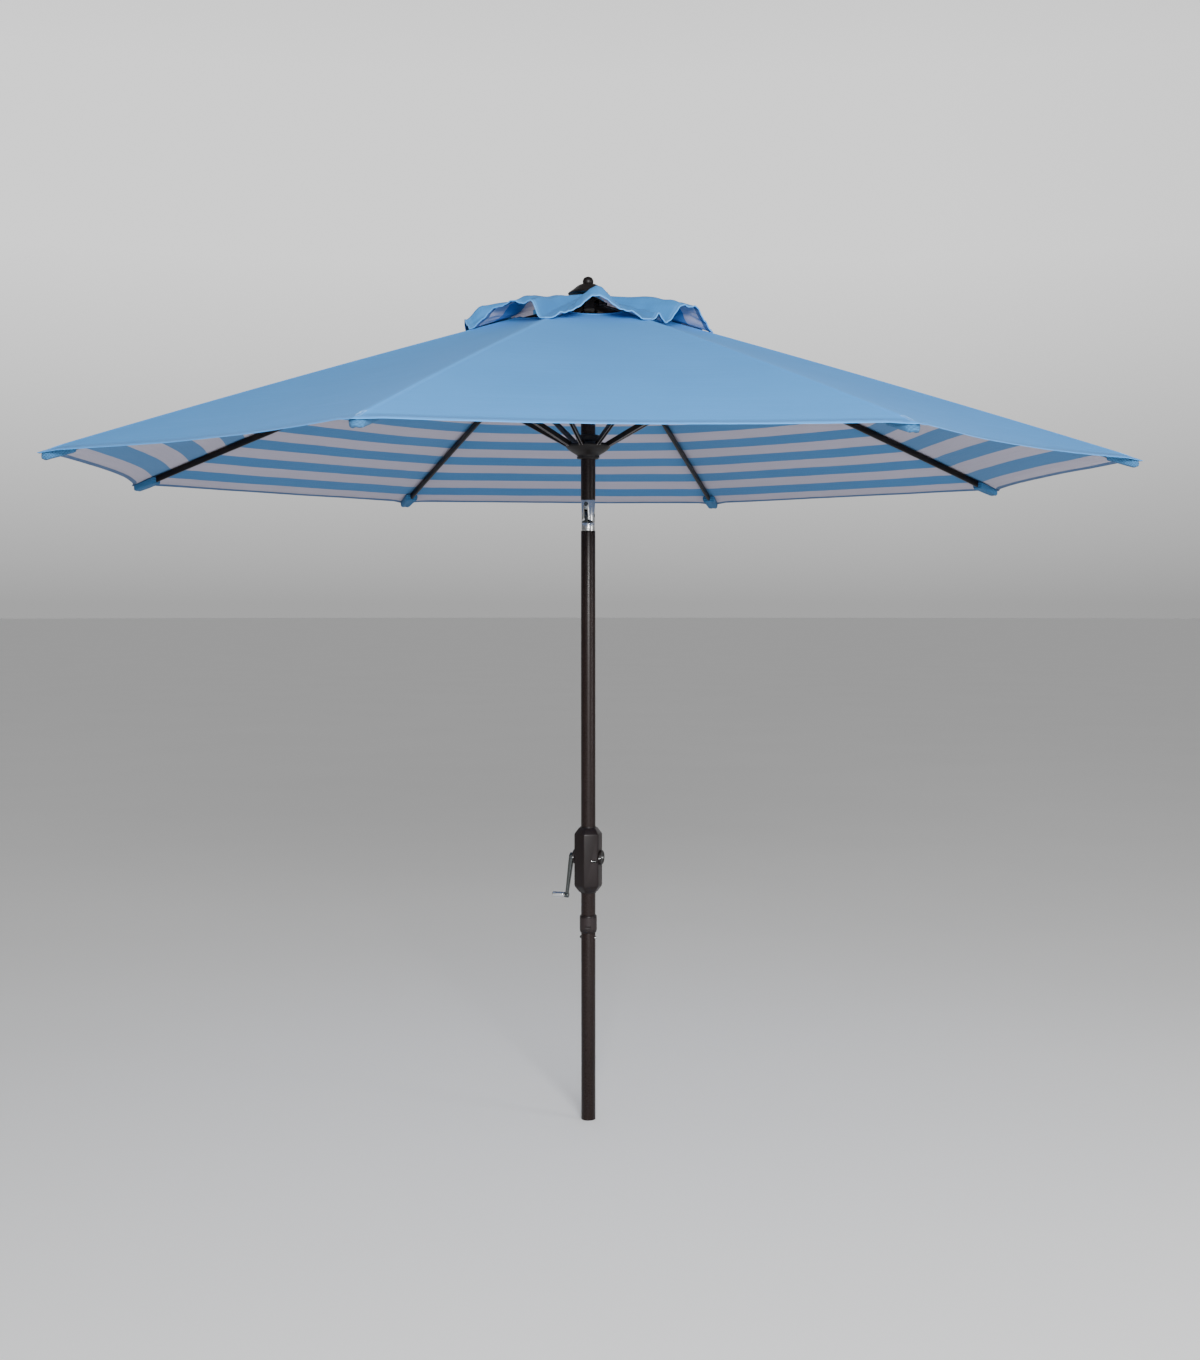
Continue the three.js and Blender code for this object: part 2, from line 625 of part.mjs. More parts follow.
// Leaf spring bent to a hairpin, whose legs press the two buttons outwards.
function snapSpring() {
  const hairpin = new THREE.Shape();
  const foot = SNAP_HEIGHT - 6;
  const bend = SNAP_HEIGHT + 40;
  hairpin.moveTo(-11.6, foot);
  hairpin.lineTo(-6, bend);
  hairpin.absarc(0, bend, 6, Math.PI, 0, true);
  hairpin.lineTo(11.6, foot);
  hairpin.lineTo(10.6, foot);
  hairpin.lineTo(5, bend);
  hairpin.absarc(0, bend, 5, 0, Math.PI, false);
  hairpin.lineTo(-10.6, foot);
  hairpin.closePath();
  const width = 7;
  const leaf = new THREE.ExtrudeGeometry(hairpin, { depth: width, bevelEnabled: false, curveSegments: 6 });
  return solid(leaf.rotateX(Math.PI / 2).translate(0, width / 2, 0));
}

// ---------------------------------------------------------------- assembly

const umbrella = new THREE.Group();

add(umbrella, 'lower_pole', lowerPole(), 'bronze');
add(umbrella, 'foot_plug', footPlug(), 'moulded');
add(umbrella, 'pole_sleeve', poleSleeve(), 'steel');
add(umbrella, 'snap_spring', snapSpring(), 'steel');
add(umbrella, 'snap_button_left', snapButton(-1), 'steel');
add(umbrella, 'snap_button_right', snapButton(1), 'steel');
add(umbrella, 'pole_collar', collar(), 'moulded');
add(umbrella, 'middle_pole', middlePole(), 'bronze');
add(umbrella, 'housing_front', frontHousing(), 'bronze');
add(umbrella, 'housing_back', backHousing(), 'bronze');
add(umbrella, 'bushing_left', bushing(-1), 'moulded');
add(umbrella, 'bushing_right', bushing(1), 'moulded');
add(umbrella, 'bushing_pin_left', bushingPin(-1), 'chrome');
add(umbrella, 'bushing_pin_right', bushingPin(1), 'chrome');
add(umbrella, 'pawl_pin', pawlPin(), 'chrome');
add(umbrella, 'crank_axle', crankAxle(), 'steel');
add(umbrella, 'crank_spool', crankSpool(), 'moulded');
add(umbrella, 'crank_arm', crankArm(), 'chrome');
add(umbrella, 'crank_grip', crankGrip(), 'chrome');
add(umbrella, 'tilt_base', tiltBase(), 'chrome');
add(umbrella, 'tilt_fork', tiltFork(), 'chrome');
add(umbrella, 'tilt_pin', along(rod(TILT_PIN_RADIUS, -17, 17), X, [0, 0, TILT_AXIS]), 'steel');
add(umbrella, 'tilt_button', tiltButton(), 'chrome');
add(umbrella, 'tilt_spring', tiltSpring(), 'steel');
add(umbrella, 'upper_pole', upperPole(), 'bronze');
add(umbrella, 'rope_pulley', pulley(), 'moulded');
add(umbrella, 'pulley_axle', along(rod(2.2, -18.5, 18.5), X, [0, 0, PULLEY_HEIGHT]), 'steel');
add(umbrella, 'top_hub', topHub(), 'moulded');
add(umbrella, 'hub_ring', ring(PIVOT_RADIUS, 1.5), 'steel');
add(umbrella, 'finial', finial(), 'moulded');
add(umbrella, 'runner', runner(), 'moulded');
add(umbrella, 'runner_screw_left', runnerScrew(-1), 'steel');
add(umbrella, 'runner_screw_right', runnerScrew(1), 'steel');

add(umbrella, 'vent_cap', ringSheet(ventPoint, 4, 6), 'canopy');

for (let k = 0; k < RIBS; k += 1) {
  const sector = new THREE.Group();
  sector.rotation.z = (2 * Math.PI * k) / RIBS;
  add(sector, `rib_${k + 1}`, rib(), 'rib_bronze');
  add(sector, `strut_${k + 1}`, strut(), 'rib_bronze');
  add(sector, `canopy_${k + 1}`, sheet(canopyPoint, GAP / 2 + 0.1, 6, 8), 'canopy');
  umbrella.add(sector);
}

export default umbrella;
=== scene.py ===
"""Market umbrella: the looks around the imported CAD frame. Metres, +Z up, ribs at every 45 degrees from +X."""

from bisect import bisect_left
from math import atan2, copysign, cos, exp, hypot, pi, radians, sin, tau

import bmesh
import bpy
from mathutils import Matrix, Vector, noise


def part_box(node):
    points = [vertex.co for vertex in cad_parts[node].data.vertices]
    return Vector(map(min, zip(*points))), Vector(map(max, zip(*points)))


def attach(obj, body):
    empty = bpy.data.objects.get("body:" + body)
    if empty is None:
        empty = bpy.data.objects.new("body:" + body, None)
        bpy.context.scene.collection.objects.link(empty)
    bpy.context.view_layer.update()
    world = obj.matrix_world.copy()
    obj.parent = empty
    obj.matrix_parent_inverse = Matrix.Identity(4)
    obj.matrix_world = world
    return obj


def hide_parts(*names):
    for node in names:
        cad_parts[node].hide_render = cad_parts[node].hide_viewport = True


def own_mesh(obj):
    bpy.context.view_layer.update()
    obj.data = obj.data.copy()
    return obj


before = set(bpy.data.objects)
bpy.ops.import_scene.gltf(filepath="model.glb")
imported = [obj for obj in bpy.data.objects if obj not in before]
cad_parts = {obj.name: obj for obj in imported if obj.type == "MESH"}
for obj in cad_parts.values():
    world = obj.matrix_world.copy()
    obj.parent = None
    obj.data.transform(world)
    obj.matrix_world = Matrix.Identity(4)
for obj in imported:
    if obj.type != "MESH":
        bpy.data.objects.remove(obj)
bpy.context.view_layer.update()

# ---------- driving dimensions

RIBS = 8
STEP = tau / RIBS
COS, SIN = cos(STEP), sin(STEP)
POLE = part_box("lower_pole")[1].x  # the pole's radius
WALL = 0.0016  # the pole's wall
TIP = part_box("canopy_1")[1].x  # canopy corner, from the pole's axis
TIP_TOP = 1.707  # height of the canopy's top at its corners
RISE, BOW = 0.449, 0.027  # from a corner up to the crown, and how much the ribs bend up on the way
INNER = 0.195  # canopy's inner edge, on the ribs
LENGTH = TIP - INNER
HEM_INSET = 0.0498  # how far the hem curves in half-way between two ribs
SAG, CROWN_SAG = 0.0145, 0.007  # how far the cloth sags between two ribs: more at the hem, and everywhere
CLOTH = 0.0007
HEM = 0.014
LIP = 0.006  # how far the corner's tip stands out over its pocket
SEAM_RIDGE, HEM_RIDGE, CREASE = 0.0008, 0.0006, 0.0013  # relief of the cloth's surface
STRIPE = 0.0597
YARN = 0.00055
VENT_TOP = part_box("vent_cap")[1].z
VENT_INNER, VENT_OUTER = 0.016, 0.333
VENT_LENGTH = VENT_OUTER - VENT_INNER
CANOPY_KEEP, VENT_KEEP = 0.13, 0.42  # share of its width a folded sector keeps
RIB_DROP = 0.0028  # fabric top to rib top
RIB_HEIGHT, RIB_WIDTH = 0.018, 0.0094
RIB_START, RIB_END = 0.034, 1.35
STRUT_TOP = Vector((0.43727, 0, 1.98849))
STRUT_FOOT = Vector((0.044, 0, 1.776))
SNAP_HEIGHT = 0.486
SHAFT = 0.7  # height of the crank's shaft
GRIP_DROP = 0.104  # from the shaft down to the grip
BOSS_FACE = 0.0333  # where the shaft's bosses stand on the housing
TILT_AXIS, BUTTON_HEIGHT = 1.596, 1.626
KNUCKLE = 0.018  # radius of the tilt joint
STUB = 0.0171  # radius of the tilt joint's stubs inside the tubes

X, Y, Z = Vector((1, 0, 0)), Vector((0, 1, 0)), Vector((0, 0, 1))
OUTWARD = Vector((0.3, 0, 0.95))  # roughly away from the canopy, on the rib along +X
SIDES = ((-1, "left"), (1, "right"))
FRONT = (0.42, -0.907, 0)  # the way the photograph is taken from
SIDEWAYS = (0.907, 0.42, 0)  # to its right


def crown(radius):
    """Height of the fabric's top above a rib, at a radius from the pole."""
    t = radius / TIP
    return TIP_TOP + RISE * (1 - t) + BOW * t * (1 - t)


def smooth(low, high, x):
    """0 below low, 1 above high, and a soft step in between."""
    t = min(1.0, max(0.0, (x - low) / (high - low)))
    return t * t * (3 - 2 * t)


def polar(radius, angle, height=0.0):
    return Vector((radius * cos(angle), radius * sin(angle), height))


def turn(k):
    """Turns what was made on the rib along +X on to rib k, counted from 1."""
    return Matrix.Rotation((k - 1) * STEP, 4, "Z")


# ---------- node materials


class Nodes:
    """Short calls that build a node tree. A socket goes by its name, or by its place as i0, i1 and so on."""

    def __init__(self, tree):
        self.tree = tree

    def put(self, value, socket):
        """Links another node's output to a socket, or sets the socket to a plain value."""
        if isinstance(value, bpy.types.NodeSocket):
            self.tree.links.new(value, socket)
        else:
            socket.default_value = value

    def node(self, kind, settings=None, **sockets):
        made = self.tree.nodes.new("ShaderNode" + kind)
        for key, value in (settings or {}).items():
            setattr(made, key, value)
        for key, value in sockets.items():
            by_place = key[0] == "i" and key[1:].isdigit()
            self.put(value, made.inputs[int(key[1:]) if by_place else key])
        return made

    def math(self, operation, a, b=0.0):
        return self.node("Math", {"operation": operation}, i0=a, i1=b).outputs[0]

    def ramp(self, value, low, high, start=0.0, end=1.0):
        """Takes low to start and high to end, and holds both ends."""
        return self.node("MapRange", None, i0=value, i1=low, i2=high, i3=start, i4=end).outputs[0]


class Graph(Nodes):
    """A material's node tree around its Principled shader."""

    def __init__(self, name, rough, metallic=0.0, **sockets):
        self.material = bpy.data.materials.new(name)
        self.material.use_nodes = True
        super().__init__(self.material.node_tree)
        self.shader = self.tree.nodes["Principled BSDF"]
        for socket, value in {"Roughness": rough, "Metallic": metallic, **sockets}.items():
            self.shader.inputs[socket.replace("_", " ")].default_value = value

    def noise(self, scale, vector=None, detail=3.0, rough=0.5):
        if vector is None:
            vector = self.node("TexCoord").outputs["Object"]
        return self.node("TexNoise", Vector=vector, Scale=scale, Detail=detail, Roughness=rough).outputs[0]

    def mix(self, share, a, b):
        made = self.node("Mix", {"data_type": "RGBA"}, i0=share)
        for colour, socket in ((a, made.inputs[6]), (b, made.inputs[7])):
            self.put((*colour, 1) if isinstance(colour, tuple) else colour, socket)
        return made.outputs[2]

    def link(self, output, socket):
        self.tree.links.new(output, self.shader.inputs[socket])

    def finish(self, colour, height, distance, strength):
        """Gives the shader its base colour and bump."""
        self.link(colour, "Base Color")
        bump = self.node("Bump", None, Height=height, Distance=distance, Strength=strength)
        self.link(bump.outputs[0], "Normal")
        return self.material


def weave(graph):
    """The cloth's own coordinates in metres, the way up from its hem, and the height of its plain weave."""
    cloth = graph.node("UVMap", {"uv_map": "cloth"}).outputs[0]
    parts = graph.node("SeparateXYZ", None, i0=cloth).outputs
    warp, weft = (graph.math("SINE", graph.math("MULTIPLY", parts[i], pi / YARN)) for i in (0, 1))
    return cloth, parts[1], graph.math("ABSOLUTE", graph.math("ADD", warp, weft))


def streaks(graph, cloth, across, along):
    """Uneven yarn: noise drawn out along the weft."""
    stretched = graph.node("Mapping", None, Vector=cloth, Scale=(across, along, 1))
    return graph.noise(1.0, stretched.outputs[0], 4.0, 0.6)


def cloth_top(name, tone=1.0):
    """The plain outer face. A tone below 1 darkens all its colours as painted shade."""
    g = Graph(name, 0.86, Sheen_Weight=0.03, Sheen_Roughness=0.5, Specular_IOR_Level=0.12)
    cloth, along, height = weave(g)
    dark, light, patch, edge = (
        tuple(tone * c for c in colour)
        for colour in ((0.07, 0.322, 0.76), (0.082, 0.36, 0.84), (0.066, 0.302, 0.715), (0.098, 0.405, 0.92))
    )
    base = g.mix(g.ramp(streaks(g, cloth, 3, 220), 0.3, 0.7), dark, light)
    base = g.mix(g.ramp(g.noise(7.0), 0.35, 0.7, 0.0, 0.3), base, patch)
    base = g.mix(g.ramp(along, HEM, HEM + 0.001, 0.7, 0.0), base, edge)
    g.link(g.ramp(streaks(g, cloth, 6, 500), 0.3, 0.7, 0.76, 0.88), "Roughness")
    return g.finish(base, height, 0.00012, 0.35)


def cloth_under():
    """The striped inner face: pale and blue bands along the hem, and a darker hem."""
    g = Graph("canopy_underside", 0.85, Sheen_Weight=0.08, Sheen_Roughness=0.5, Specular_IOR_Level=0.2)
    cloth, along, height = weave(g)
    wobble = g.math("MULTIPLY", g.math("SUBTRACT", streaks(g, cloth, 90, 90), 0.5), 0.0014)
    place = g.math("SUBTRACT", g.math("ADD", along, wobble), 0.0015)
    wave = g.math("SINE", g.math("MULTIPLY", place, pi / STRIPE))
    yarn = g.ramp(streaks(g, cloth, 4, 260), 0.3, 0.7)
    # The pale stripe is an off-white painted down to grey: painted shade of the underside.
    pale = g.mix(yarn, (0.4, 0.385, 0.48), (0.45, 0.43, 0.53))
    blue = g.mix(yarn, (0.046, 0.18, 0.4), (0.06, 0.208, 0.45))
    base = g.mix(g.ramp(wave, -0.02, 0.02), blue, pale)
    # The hem is the top's blue cloth folded under, painted a darker navy than the top: painted shade.
    hem = g.ramp(along, HEM - 0.001, HEM - 0.0005, 1.0, 0.0)
    return g.finish(g.mix(hem, base, (0.06, 0.125, 0.26)), height, 0.00012, 0.35)


def trim_cloth(name, colour, rough=0.8):
    """Tape or thread in one colour."""
    g = Graph(name, rough, Sheen_Weight=0.15, Specular_IOR_Level=0.25)
    darker = tuple(c * 0.82 for c in colour)
    return g.finish(g.mix(g.ramp(g.noise(900.0), 0.3, 0.7), darker, colour), g.noise(1600.0), 0.0001, 0.4)


def quilted_cloth():
    """The pocket's doubled cloth, with rows of crossed stitching."""
    g = Graph("pocket_cloth", 0.85, Sheen_Weight=0.05, Specular_IOR_Level=0.2)
    x, y, z = g.node("SeparateXYZ", None, i0=g.node("TexCoord").outputs["Object"]).outputs
    radius = g.math("SQRT", g.math("ADD", g.math("POWER", x, 2), g.math("POWER", y, 2)))
    rows = []
    for slant in (0.9, -0.9):
        run = g.math("ADD", radius, g.math("MULTIPLY", z, slant))
        rows.append(g.math("ABSOLUTE", g.math("SINE", g.math("MULTIPLY", run, pi / 0.0065))))
    groove = g.ramp(g.math("MINIMUM", *rows), 0.05, 0.4)
    # The stitch grooves are painted a darker blue than the cloth: painted shade in the grooves.
    return g.finish(g.mix(groove, (0.02, 0.075, 0.165), (0.046, 0.165, 0.345)), groove, 0.0004, 0.6)


def coated(name, dark, light, rough, metallic=0.05, grain=1800.0, depth=0.00004):
    """Powder coat: a fine orange peel, a slight drift of tone, and edges worn a little lighter."""
    g = Graph(name, rough, metallic, Specular_IOR_Level=0.22)
    base = g.mix(g.ramp(g.noise(9.0), 0.3, 0.7), dark, light)
    worn = g.ramp(g.node("NewGeometry").outputs["Pointiness"], 0.53, 0.6, 0.0, 0.45)
    base = g.mix(worn, base, tuple(min(1, c * 2.6 + 0.01) for c in light))
    g.link(g.ramp(g.noise(grain / 3), 0.35, 0.65, rough - 0.05, rough + 0.08), "Roughness")
    return g.finish(base, g.noise(grain), depth, 0.5)


def moulded(name, colour, rough):
    """Moulded plastic with a fine grain."""
    g = Graph(name, rough, Specular_IOR_Level=0.26)
    lighter = tuple(c * 1.5 + 0.002 for c in colour)
    base = g.mix(g.ramp(g.noise(30.0), 0.35, 0.7), colour, lighter)
    g.link(g.ramp(g.noise(700.0), 0.3, 0.7, rough - 0.07, rough + 0.07), "Roughness")
    return g.finish(base, g.noise(2500.0), 0.00005, 0.5)


def plated(name, colour, rough):
    """Bright plating with fine polishing lines round the axis and faint smudges."""
    g = Graph(name, rough, 1.0)
    place = g.node("TexCoord").outputs["Object"]
    polish = g.noise(1.0, g.node("Mapping", None, Vector=place, Scale=(40, 40, 2500)).outputs[0], 2.0)
    smudge = g.noise(60.0)
    base = g.mix(g.ramp(smudge, 0.45, 0.75, 0.0, 0.5), colour, tuple(c * 0.82 for c in colour))
    g.link(g.ramp(g.math("ADD", polish, smudge), 0.7, 1.3, rough, rough + 0.06), "Roughness")
    return g.finish(base, polish, 0.00001, 0.25)


TOP = cloth_top("canopy_top")
# The vent's cloth at 0.74 of the canopy's colours: painted shade over the vent.
VENT_CLOTH = cloth_top("vent_top_painted_shade", 0.74)
UNDER = cloth_under()
BINDING = trim_cloth("hem_binding", (0.105, 0.41, 0.86))
SHADE_CLOTH = quilted_cloth()
THREAD = trim_cloth("thread", (0.13, 0.42, 0.86), 0.6)
TACK = trim_cloth("tack_thread", (0.3, 0.6, 0.94), 0.6)
BRONZE = coated("pole_bronze", (0.01, 0.0056, 0.005), (0.014, 0.008, 0.0072), 0.28)
HOUSING = coated("housing_bronze", (0.0078, 0.005, 0.0052), (0.0104, 0.0068, 0.007), 0.38,
                 grain=1200.0, depth=0.00006)
RIB_PAINT = coated("rib_bronze", (0.0075, 0.0058, 0.0056), (0.011, 0.0088, 0.0085), 0.34)
# Light grey paint for the struts' lower edges: a painted highlight.
EDGE_HIGHLIGHT_PAINT = coated("painted_edge_highlight", (0.08, 0.074, 0.074), (0.11, 0.103, 0.103), 0.42, 0.3)
PLASTIC = moulded("moulded_dark", (0.0052, 0.0036, 0.0035), 0.4)
CHROME = plated("bright_chrome", (0.6, 0.61, 0.61), 0.1)
DARK_CHROME = plated("dark_chrome", (0.09, 0.098, 0.098), 0.16)
STEEL = plated("zinc_steel", (0.45, 0.46, 0.46), 0.24)


# ---------- pieces


def in_scene(name, data):
    made = bpy.data.objects.new(name, data)
    bpy.context.scene.collection.objects.link(made)
    return made


def piece(name, mesh, body, slot, material, *replaced, sharp=35):
    """A finished mesh as a piece of the object, on its body, in place of the replaced CAD nodes."""
    mesh.name = name
    made = in_scene(name, mesh)
    if mesh.materials.find(material.name) < 0:
        mesh.materials.append(material)
    mesh.polygons.foreach_set("use_smooth", [True] * len(mesh.polygons))
    mesh.set_sharp_from_angle(angle=radians(sharp))
    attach(made, body)
    if replaced:
        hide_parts(*replaced)
    return made


def rib_piece(k, name, mesh, slot, material, *replaced, body="rib_body", sharp=35):
    """A piece made on the rib along +X, turned on to rib k and riding on that rib's body."""
    mesh.transform(turn(k))
    return piece(f"{name}_{k}", mesh, f"{body}_{k}", slot, material, *replaced, sharp=sharp)


# ---------- mesh helpers


def to_mesh(bm, matrix=None, weld=True):
    """The bmesh as a mesh, laid by a matrix. Welding also turns its faces outward."""
    if weld:
        bmesh.ops.remove_doubles(bm, verts=bm.verts, dist=1e-6)
        bmesh.ops.recalc_face_normals(bm, faces=bm.faces)
    mesh = bpy.data.meshes.new("mesh")
    bm.to_mesh(mesh)
    bm.free()
    if matrix is not None:
        mesh.transform(matrix)
    return mesh


def applied(mesh, kind, **settings):
    """The mesh after one modifier."""
    carrier = in_scene("carrier", mesh)
    modifier = carrier.modifiers.new(kind.lower(), kind)
    for key, value in settings.items():
        setattr(modifier, key, value)
    bpy.context.view_layer.update()
    made = bpy.data.meshes.new_from_object(carrier.evaluated_get(bpy.context.evaluated_depsgraph_get()))
    bpy.data.objects.remove(carrier)
    return made


def boolean(mesh, tool, operation):
    cutter = in_scene("cutter", tool)
    made = applied(mesh, "BOOLEAN", object=cutter, operation=operation, solver="EXACT")
    bpy.data.objects.remove(cutter)
    return made


def cut(mesh, *tools):
    """The mesh with the tools' solids taken away."""
    for tool in tools:
        mesh = boolean(mesh, tool, "DIFFERENCE")
    return mesh


def joined(*meshes):
    bm = bmesh.new()
    for mesh in meshes:
        bm.from_mesh(mesh)
    return to_mesh(bm, weld=False)


def bevelled(mesh, width, segments=3, angle=30):
    return applied(mesh, "BEVEL", width=width, segments=segments, limit_method="ANGLE",
                   angle_limit=radians(angle))


def frame_at(place, axis, up=None):
    """Matrix that lays local Z along axis at a place."""
    axis = Vector(axis).normalized()
    if up is None:
        matrix = axis.to_track_quat("Z", "Y").to_matrix().to_4x4()
    else:
        side = Vector(up).cross(axis).normalized()
        matrix = Matrix((side, axis.cross(side), axis)).transposed().to_4x4()
    return Matrix.Translation(place) @ matrix


def turned(profile, sides=96, matrix=None):
    """A turned solid from (radius, height) points, closed on the axis or on itself."""
    bm = bmesh.new()
    rings = []
    for radius, height in profile:
        corners = 1 if radius < 1e-7 else sides
        rings.append([bm.verts.new(polar(radius, tau * i / sides, height)) for i in range(corners)])
    for one, two in zip(rings, rings[1:]):
        for i in range(sides):
            j = (i + 1) % sides
            corners = [one[i % len(one)], one[j % len(one)], two[j % len(two)], two[i % len(two)]]
            distinct = list(dict.fromkeys(corners))
            if len(distinct) > 2:
                bm.faces.new(distinct)
    return to_mesh(bm, matrix)


def arc(centre, radius, start, end, count):
    """Points of an arc in a profile, angles in degrees."""
    angles = [radians(start + (end - start) * i / count) for i in range(count + 1)]
    return [(centre[0] + radius * cos(a), centre[1] + radius * sin(a)) for a in angles]


def mm(*points):
    """Profile points given in millimetres."""
    return [(x / 1000, y / 1000) for x, y in points]


def rounded_corner(before, here, after, radius):
    """Five points that round off one corner of a profile."""
    here = Vector(here)
    one, two = Vector(before) - here, Vector(after) - here
    reach = min(radius, one.length / 2.2, two.length / 2.2)
    a, b = here + one.normalized() * reach, here + two.normalized() * reach
    return [tuple(a * (1 - t) ** 2 + here * 2 * t * (1 - t) + b * t * t) for t in (0, 0.25, 0.5, 0.75, 1)]


def ringed(outline, sides=96, matrix=None, radius=0.001):
    """A turned ring or tube: a closed outline that doesn't touch the axis, with its corners rounded."""
    points = []
    for before, here, after in zip(outline[-1:] + outline, outline, outline[1:] + outline[:1]):
        points += rounded_corner(before, here, after, radius)
    return turned([*points, points[0]], sides, matrix)


def plug(outline, sides=96, matrix=None, radius=0.001):
    """A turned solid whose outline starts and ends on the axis, with its corners rounded."""
    points = [outline[0]]
    for before, here, after in zip(outline, outline[1:], outline[2:]):
        points += rounded_corner(before, here, after, radius)
    return turned([*points, outline[-1]], sides, matrix)


def rod(radius, low, high, sides=96, matrix=None, rounding=0.0):
    """A round bar from low to high along its axis, with plain or rounded edges."""
    outline = [(0, low), (radius, low), (radius, high), (0, high)]
    return plug(outline, sides, matrix, rounding) if rounding else turned(outline, sides, matrix)


def lofted(sections):
    """A closed skin over a row of sections with the same number of points each."""
    bm = bmesh.new()
    rings = [[bm.verts.new(p) for p in section] for section in sections]
    for one, two in zip(rings, rings[1:]):
        for i in range(len(one)):
            j = (i + 1) % len(one)
            bm.faces.new((one[i], one[j], two[j], two[i]))
    bm.faces.new(rings[0])
    bm.faces.new(rings[-1])
    return to_mesh(bm)


def block(low, high, matrix=None):
    """A rectangular block between two corners."""
    bm = bmesh.new()
    bmesh.ops.create_cube(bm, size=1)
    bmesh.ops.scale(bm, vec=Vector(high) - Vector(low), verts=bm.verts)
    bmesh.ops.translate(bm, vec=(Vector(high) + Vector(low)) / 2, verts=bm.verts)
    return to_mesh(bm, matrix)


def rounded_rectangle(width, height, radius, steps=4):
    points = []
    for (cx, cy), start in zip(((1, 1), (-1, 1), (-1, -1), (1, -1)), (0, 90, 180, 270)):
        centre = (cx * (width / 2 - radius), cy * (height / 2 - radius))
        points += arc(centre, radius, start, start + 90, steps)
    return points


def ahead_at(points, i):
    """The way a line of points runs at point i."""
    return points[min(i + 1, len(points) - 1)] - points[max(i - 1, 0)]


def swept(section, places):
    """Sweeps a flat section, given as (across, up) points, along places in the XZ plane."""
    sections = []
    for i, place in enumerate(places):
        up = ahead_at(places, i).normalized().cross(Y)
        up = up if up.z > 0 or abs(up.z) < 0.3 else -up
        sections.append([place + Y * p[0] + up * p[1] for p in section])
    return lofted(sections)


def cord_along(points, radius, up=Z):
    """A thin round cord through points."""
    sections = []
    for i, point in enumerate(points):
        matrix = frame_at(point, ahead_at(points, i), up)
        sections.append([matrix @ polar(radius, tau * corner / 8) for corner in range(8)])
    return lofted(sections)


def stitches(points, normals, length=0.003, gap=0.0011, radius=0.00042):
    """A row of raised stitches along points on a cloth."""
    bm = bmesh.new()
    marks = [0.0]
    for one, two in zip(points, points[1:]):
        marks.append(marks[-1] + (two - one).length)

    def at(distance):
        i = min(max(bisect_left(marks, distance) - 1, 0), len(points) - 2)
        t = (distance - marks[i]) / max(marks[i + 1] - marks[i], 1e-9)
        return points[i].lerp(points[i + 1], t), normals[i].lerp(normals[i + 1], t).normalized()

    start = 0.0
    while start + length < marks[-1]:
        (a, up), (b, _) = at(start), at(start + length)
        middle = at(start + length / 2)[0] + up * radius * 0.3
        side = (b - a).normalized().cross(up).normalized()
        ring = [bm.verts.new(middle + way * radius) for way in (side, up, -side, -up)]
        ends = [bm.verts.new(a), bm.verts.new(b)]
        for one, two in zip(ring, ring[1:] + ring[:1]):
            bm.faces.new((one, two, ends[1]))
            bm.faces.new((two, one, ends[0]))
        start += length + gap
    return to_mesh(bm, weld=False)


# ---------- canopy cloth


def between_ribs(radius, across):
    """Plan place of a point: across is 0 on the rib along +X, and 1 or -1 half-way to the next rib."""
    share = abs(across) / 2
    return radius * (1 - share + share * COS), radius * share * SIN * copysign(1, across)


def half_width(radius):
    """From a rib to half-way to the next one."""
    return radius * SIN / 2


def mid_gore(across):
    """0 on a rib, 1 half-way between two ribs."""
    return 1 - (1 - abs(across)) ** 2


def ripple(point):
    """Slight unevenness of a stretched cloth, the same on both sides of a seam."""
    return 0.0011 * noise.noise(point * 5.0) + 0.0004 * noise.noise(point * 17.0 + Vector((3, 1, 7)))


def canopy_radius(share):
    """Place on the rib: share is 0 at the cloth's inner edge and 1 at the corner."""
    return INNER + LENGTH * share


def canopy_point(share, across, k):
    """A point of the canopy's top, drawn on the rib along +X, with rib k's ripples."""
    middle = mid_gore(across)
    along_rib = canopy_radius(share)
    radius = along_rib - HEM_INSET * middle * share**2
    lateral = half_width(radius) * abs(across)
    lip = LIP * (1 - smooth(0.004, 0.03, lateral)) * smooth(TIP - 0.05, TIP, along_rib)
    x, y = between_ribs(radius + lip, across)
    z = crown(radius + lip) - (CROWN_SAG + SAG * share**2) * middle - 0.5 * lip
    z += SEAM_RIDGE * (1 - smooth(0.0062, 0.0078, lateral))
    z += HEM_RIDGE * smooth(TIP - HEM - 0.001, TIP - HEM, along_rib)
    # Tension creases fan out from the corner.
    reach = hypot(TIP - along_rib, lateral)
    fan = sin(atan2(lateral, TIP - along_rib) * 14 + 0.6)
    z += CREASE * exp(-reach / 0.1) * smooth(0.0, 0.03, lateral) * fan
    point = Vector((x, y, z))
    point.z += ripple(turn(k) @ point) * smooth(0, 0.05, lateral)
    return point


def across_values(half, steps):
    """Places across a sector: close together beside the rib's seam, then even."""
    near = [b / half for b in (0.0, 0.0035, 0.006, 0.008, 0.013)]
    right = near + [near[-1] + (1 - near[-1]) * i / steps for i in range(1, steps + 1)]
    return [-a for a in reversed(right[1:])] + right


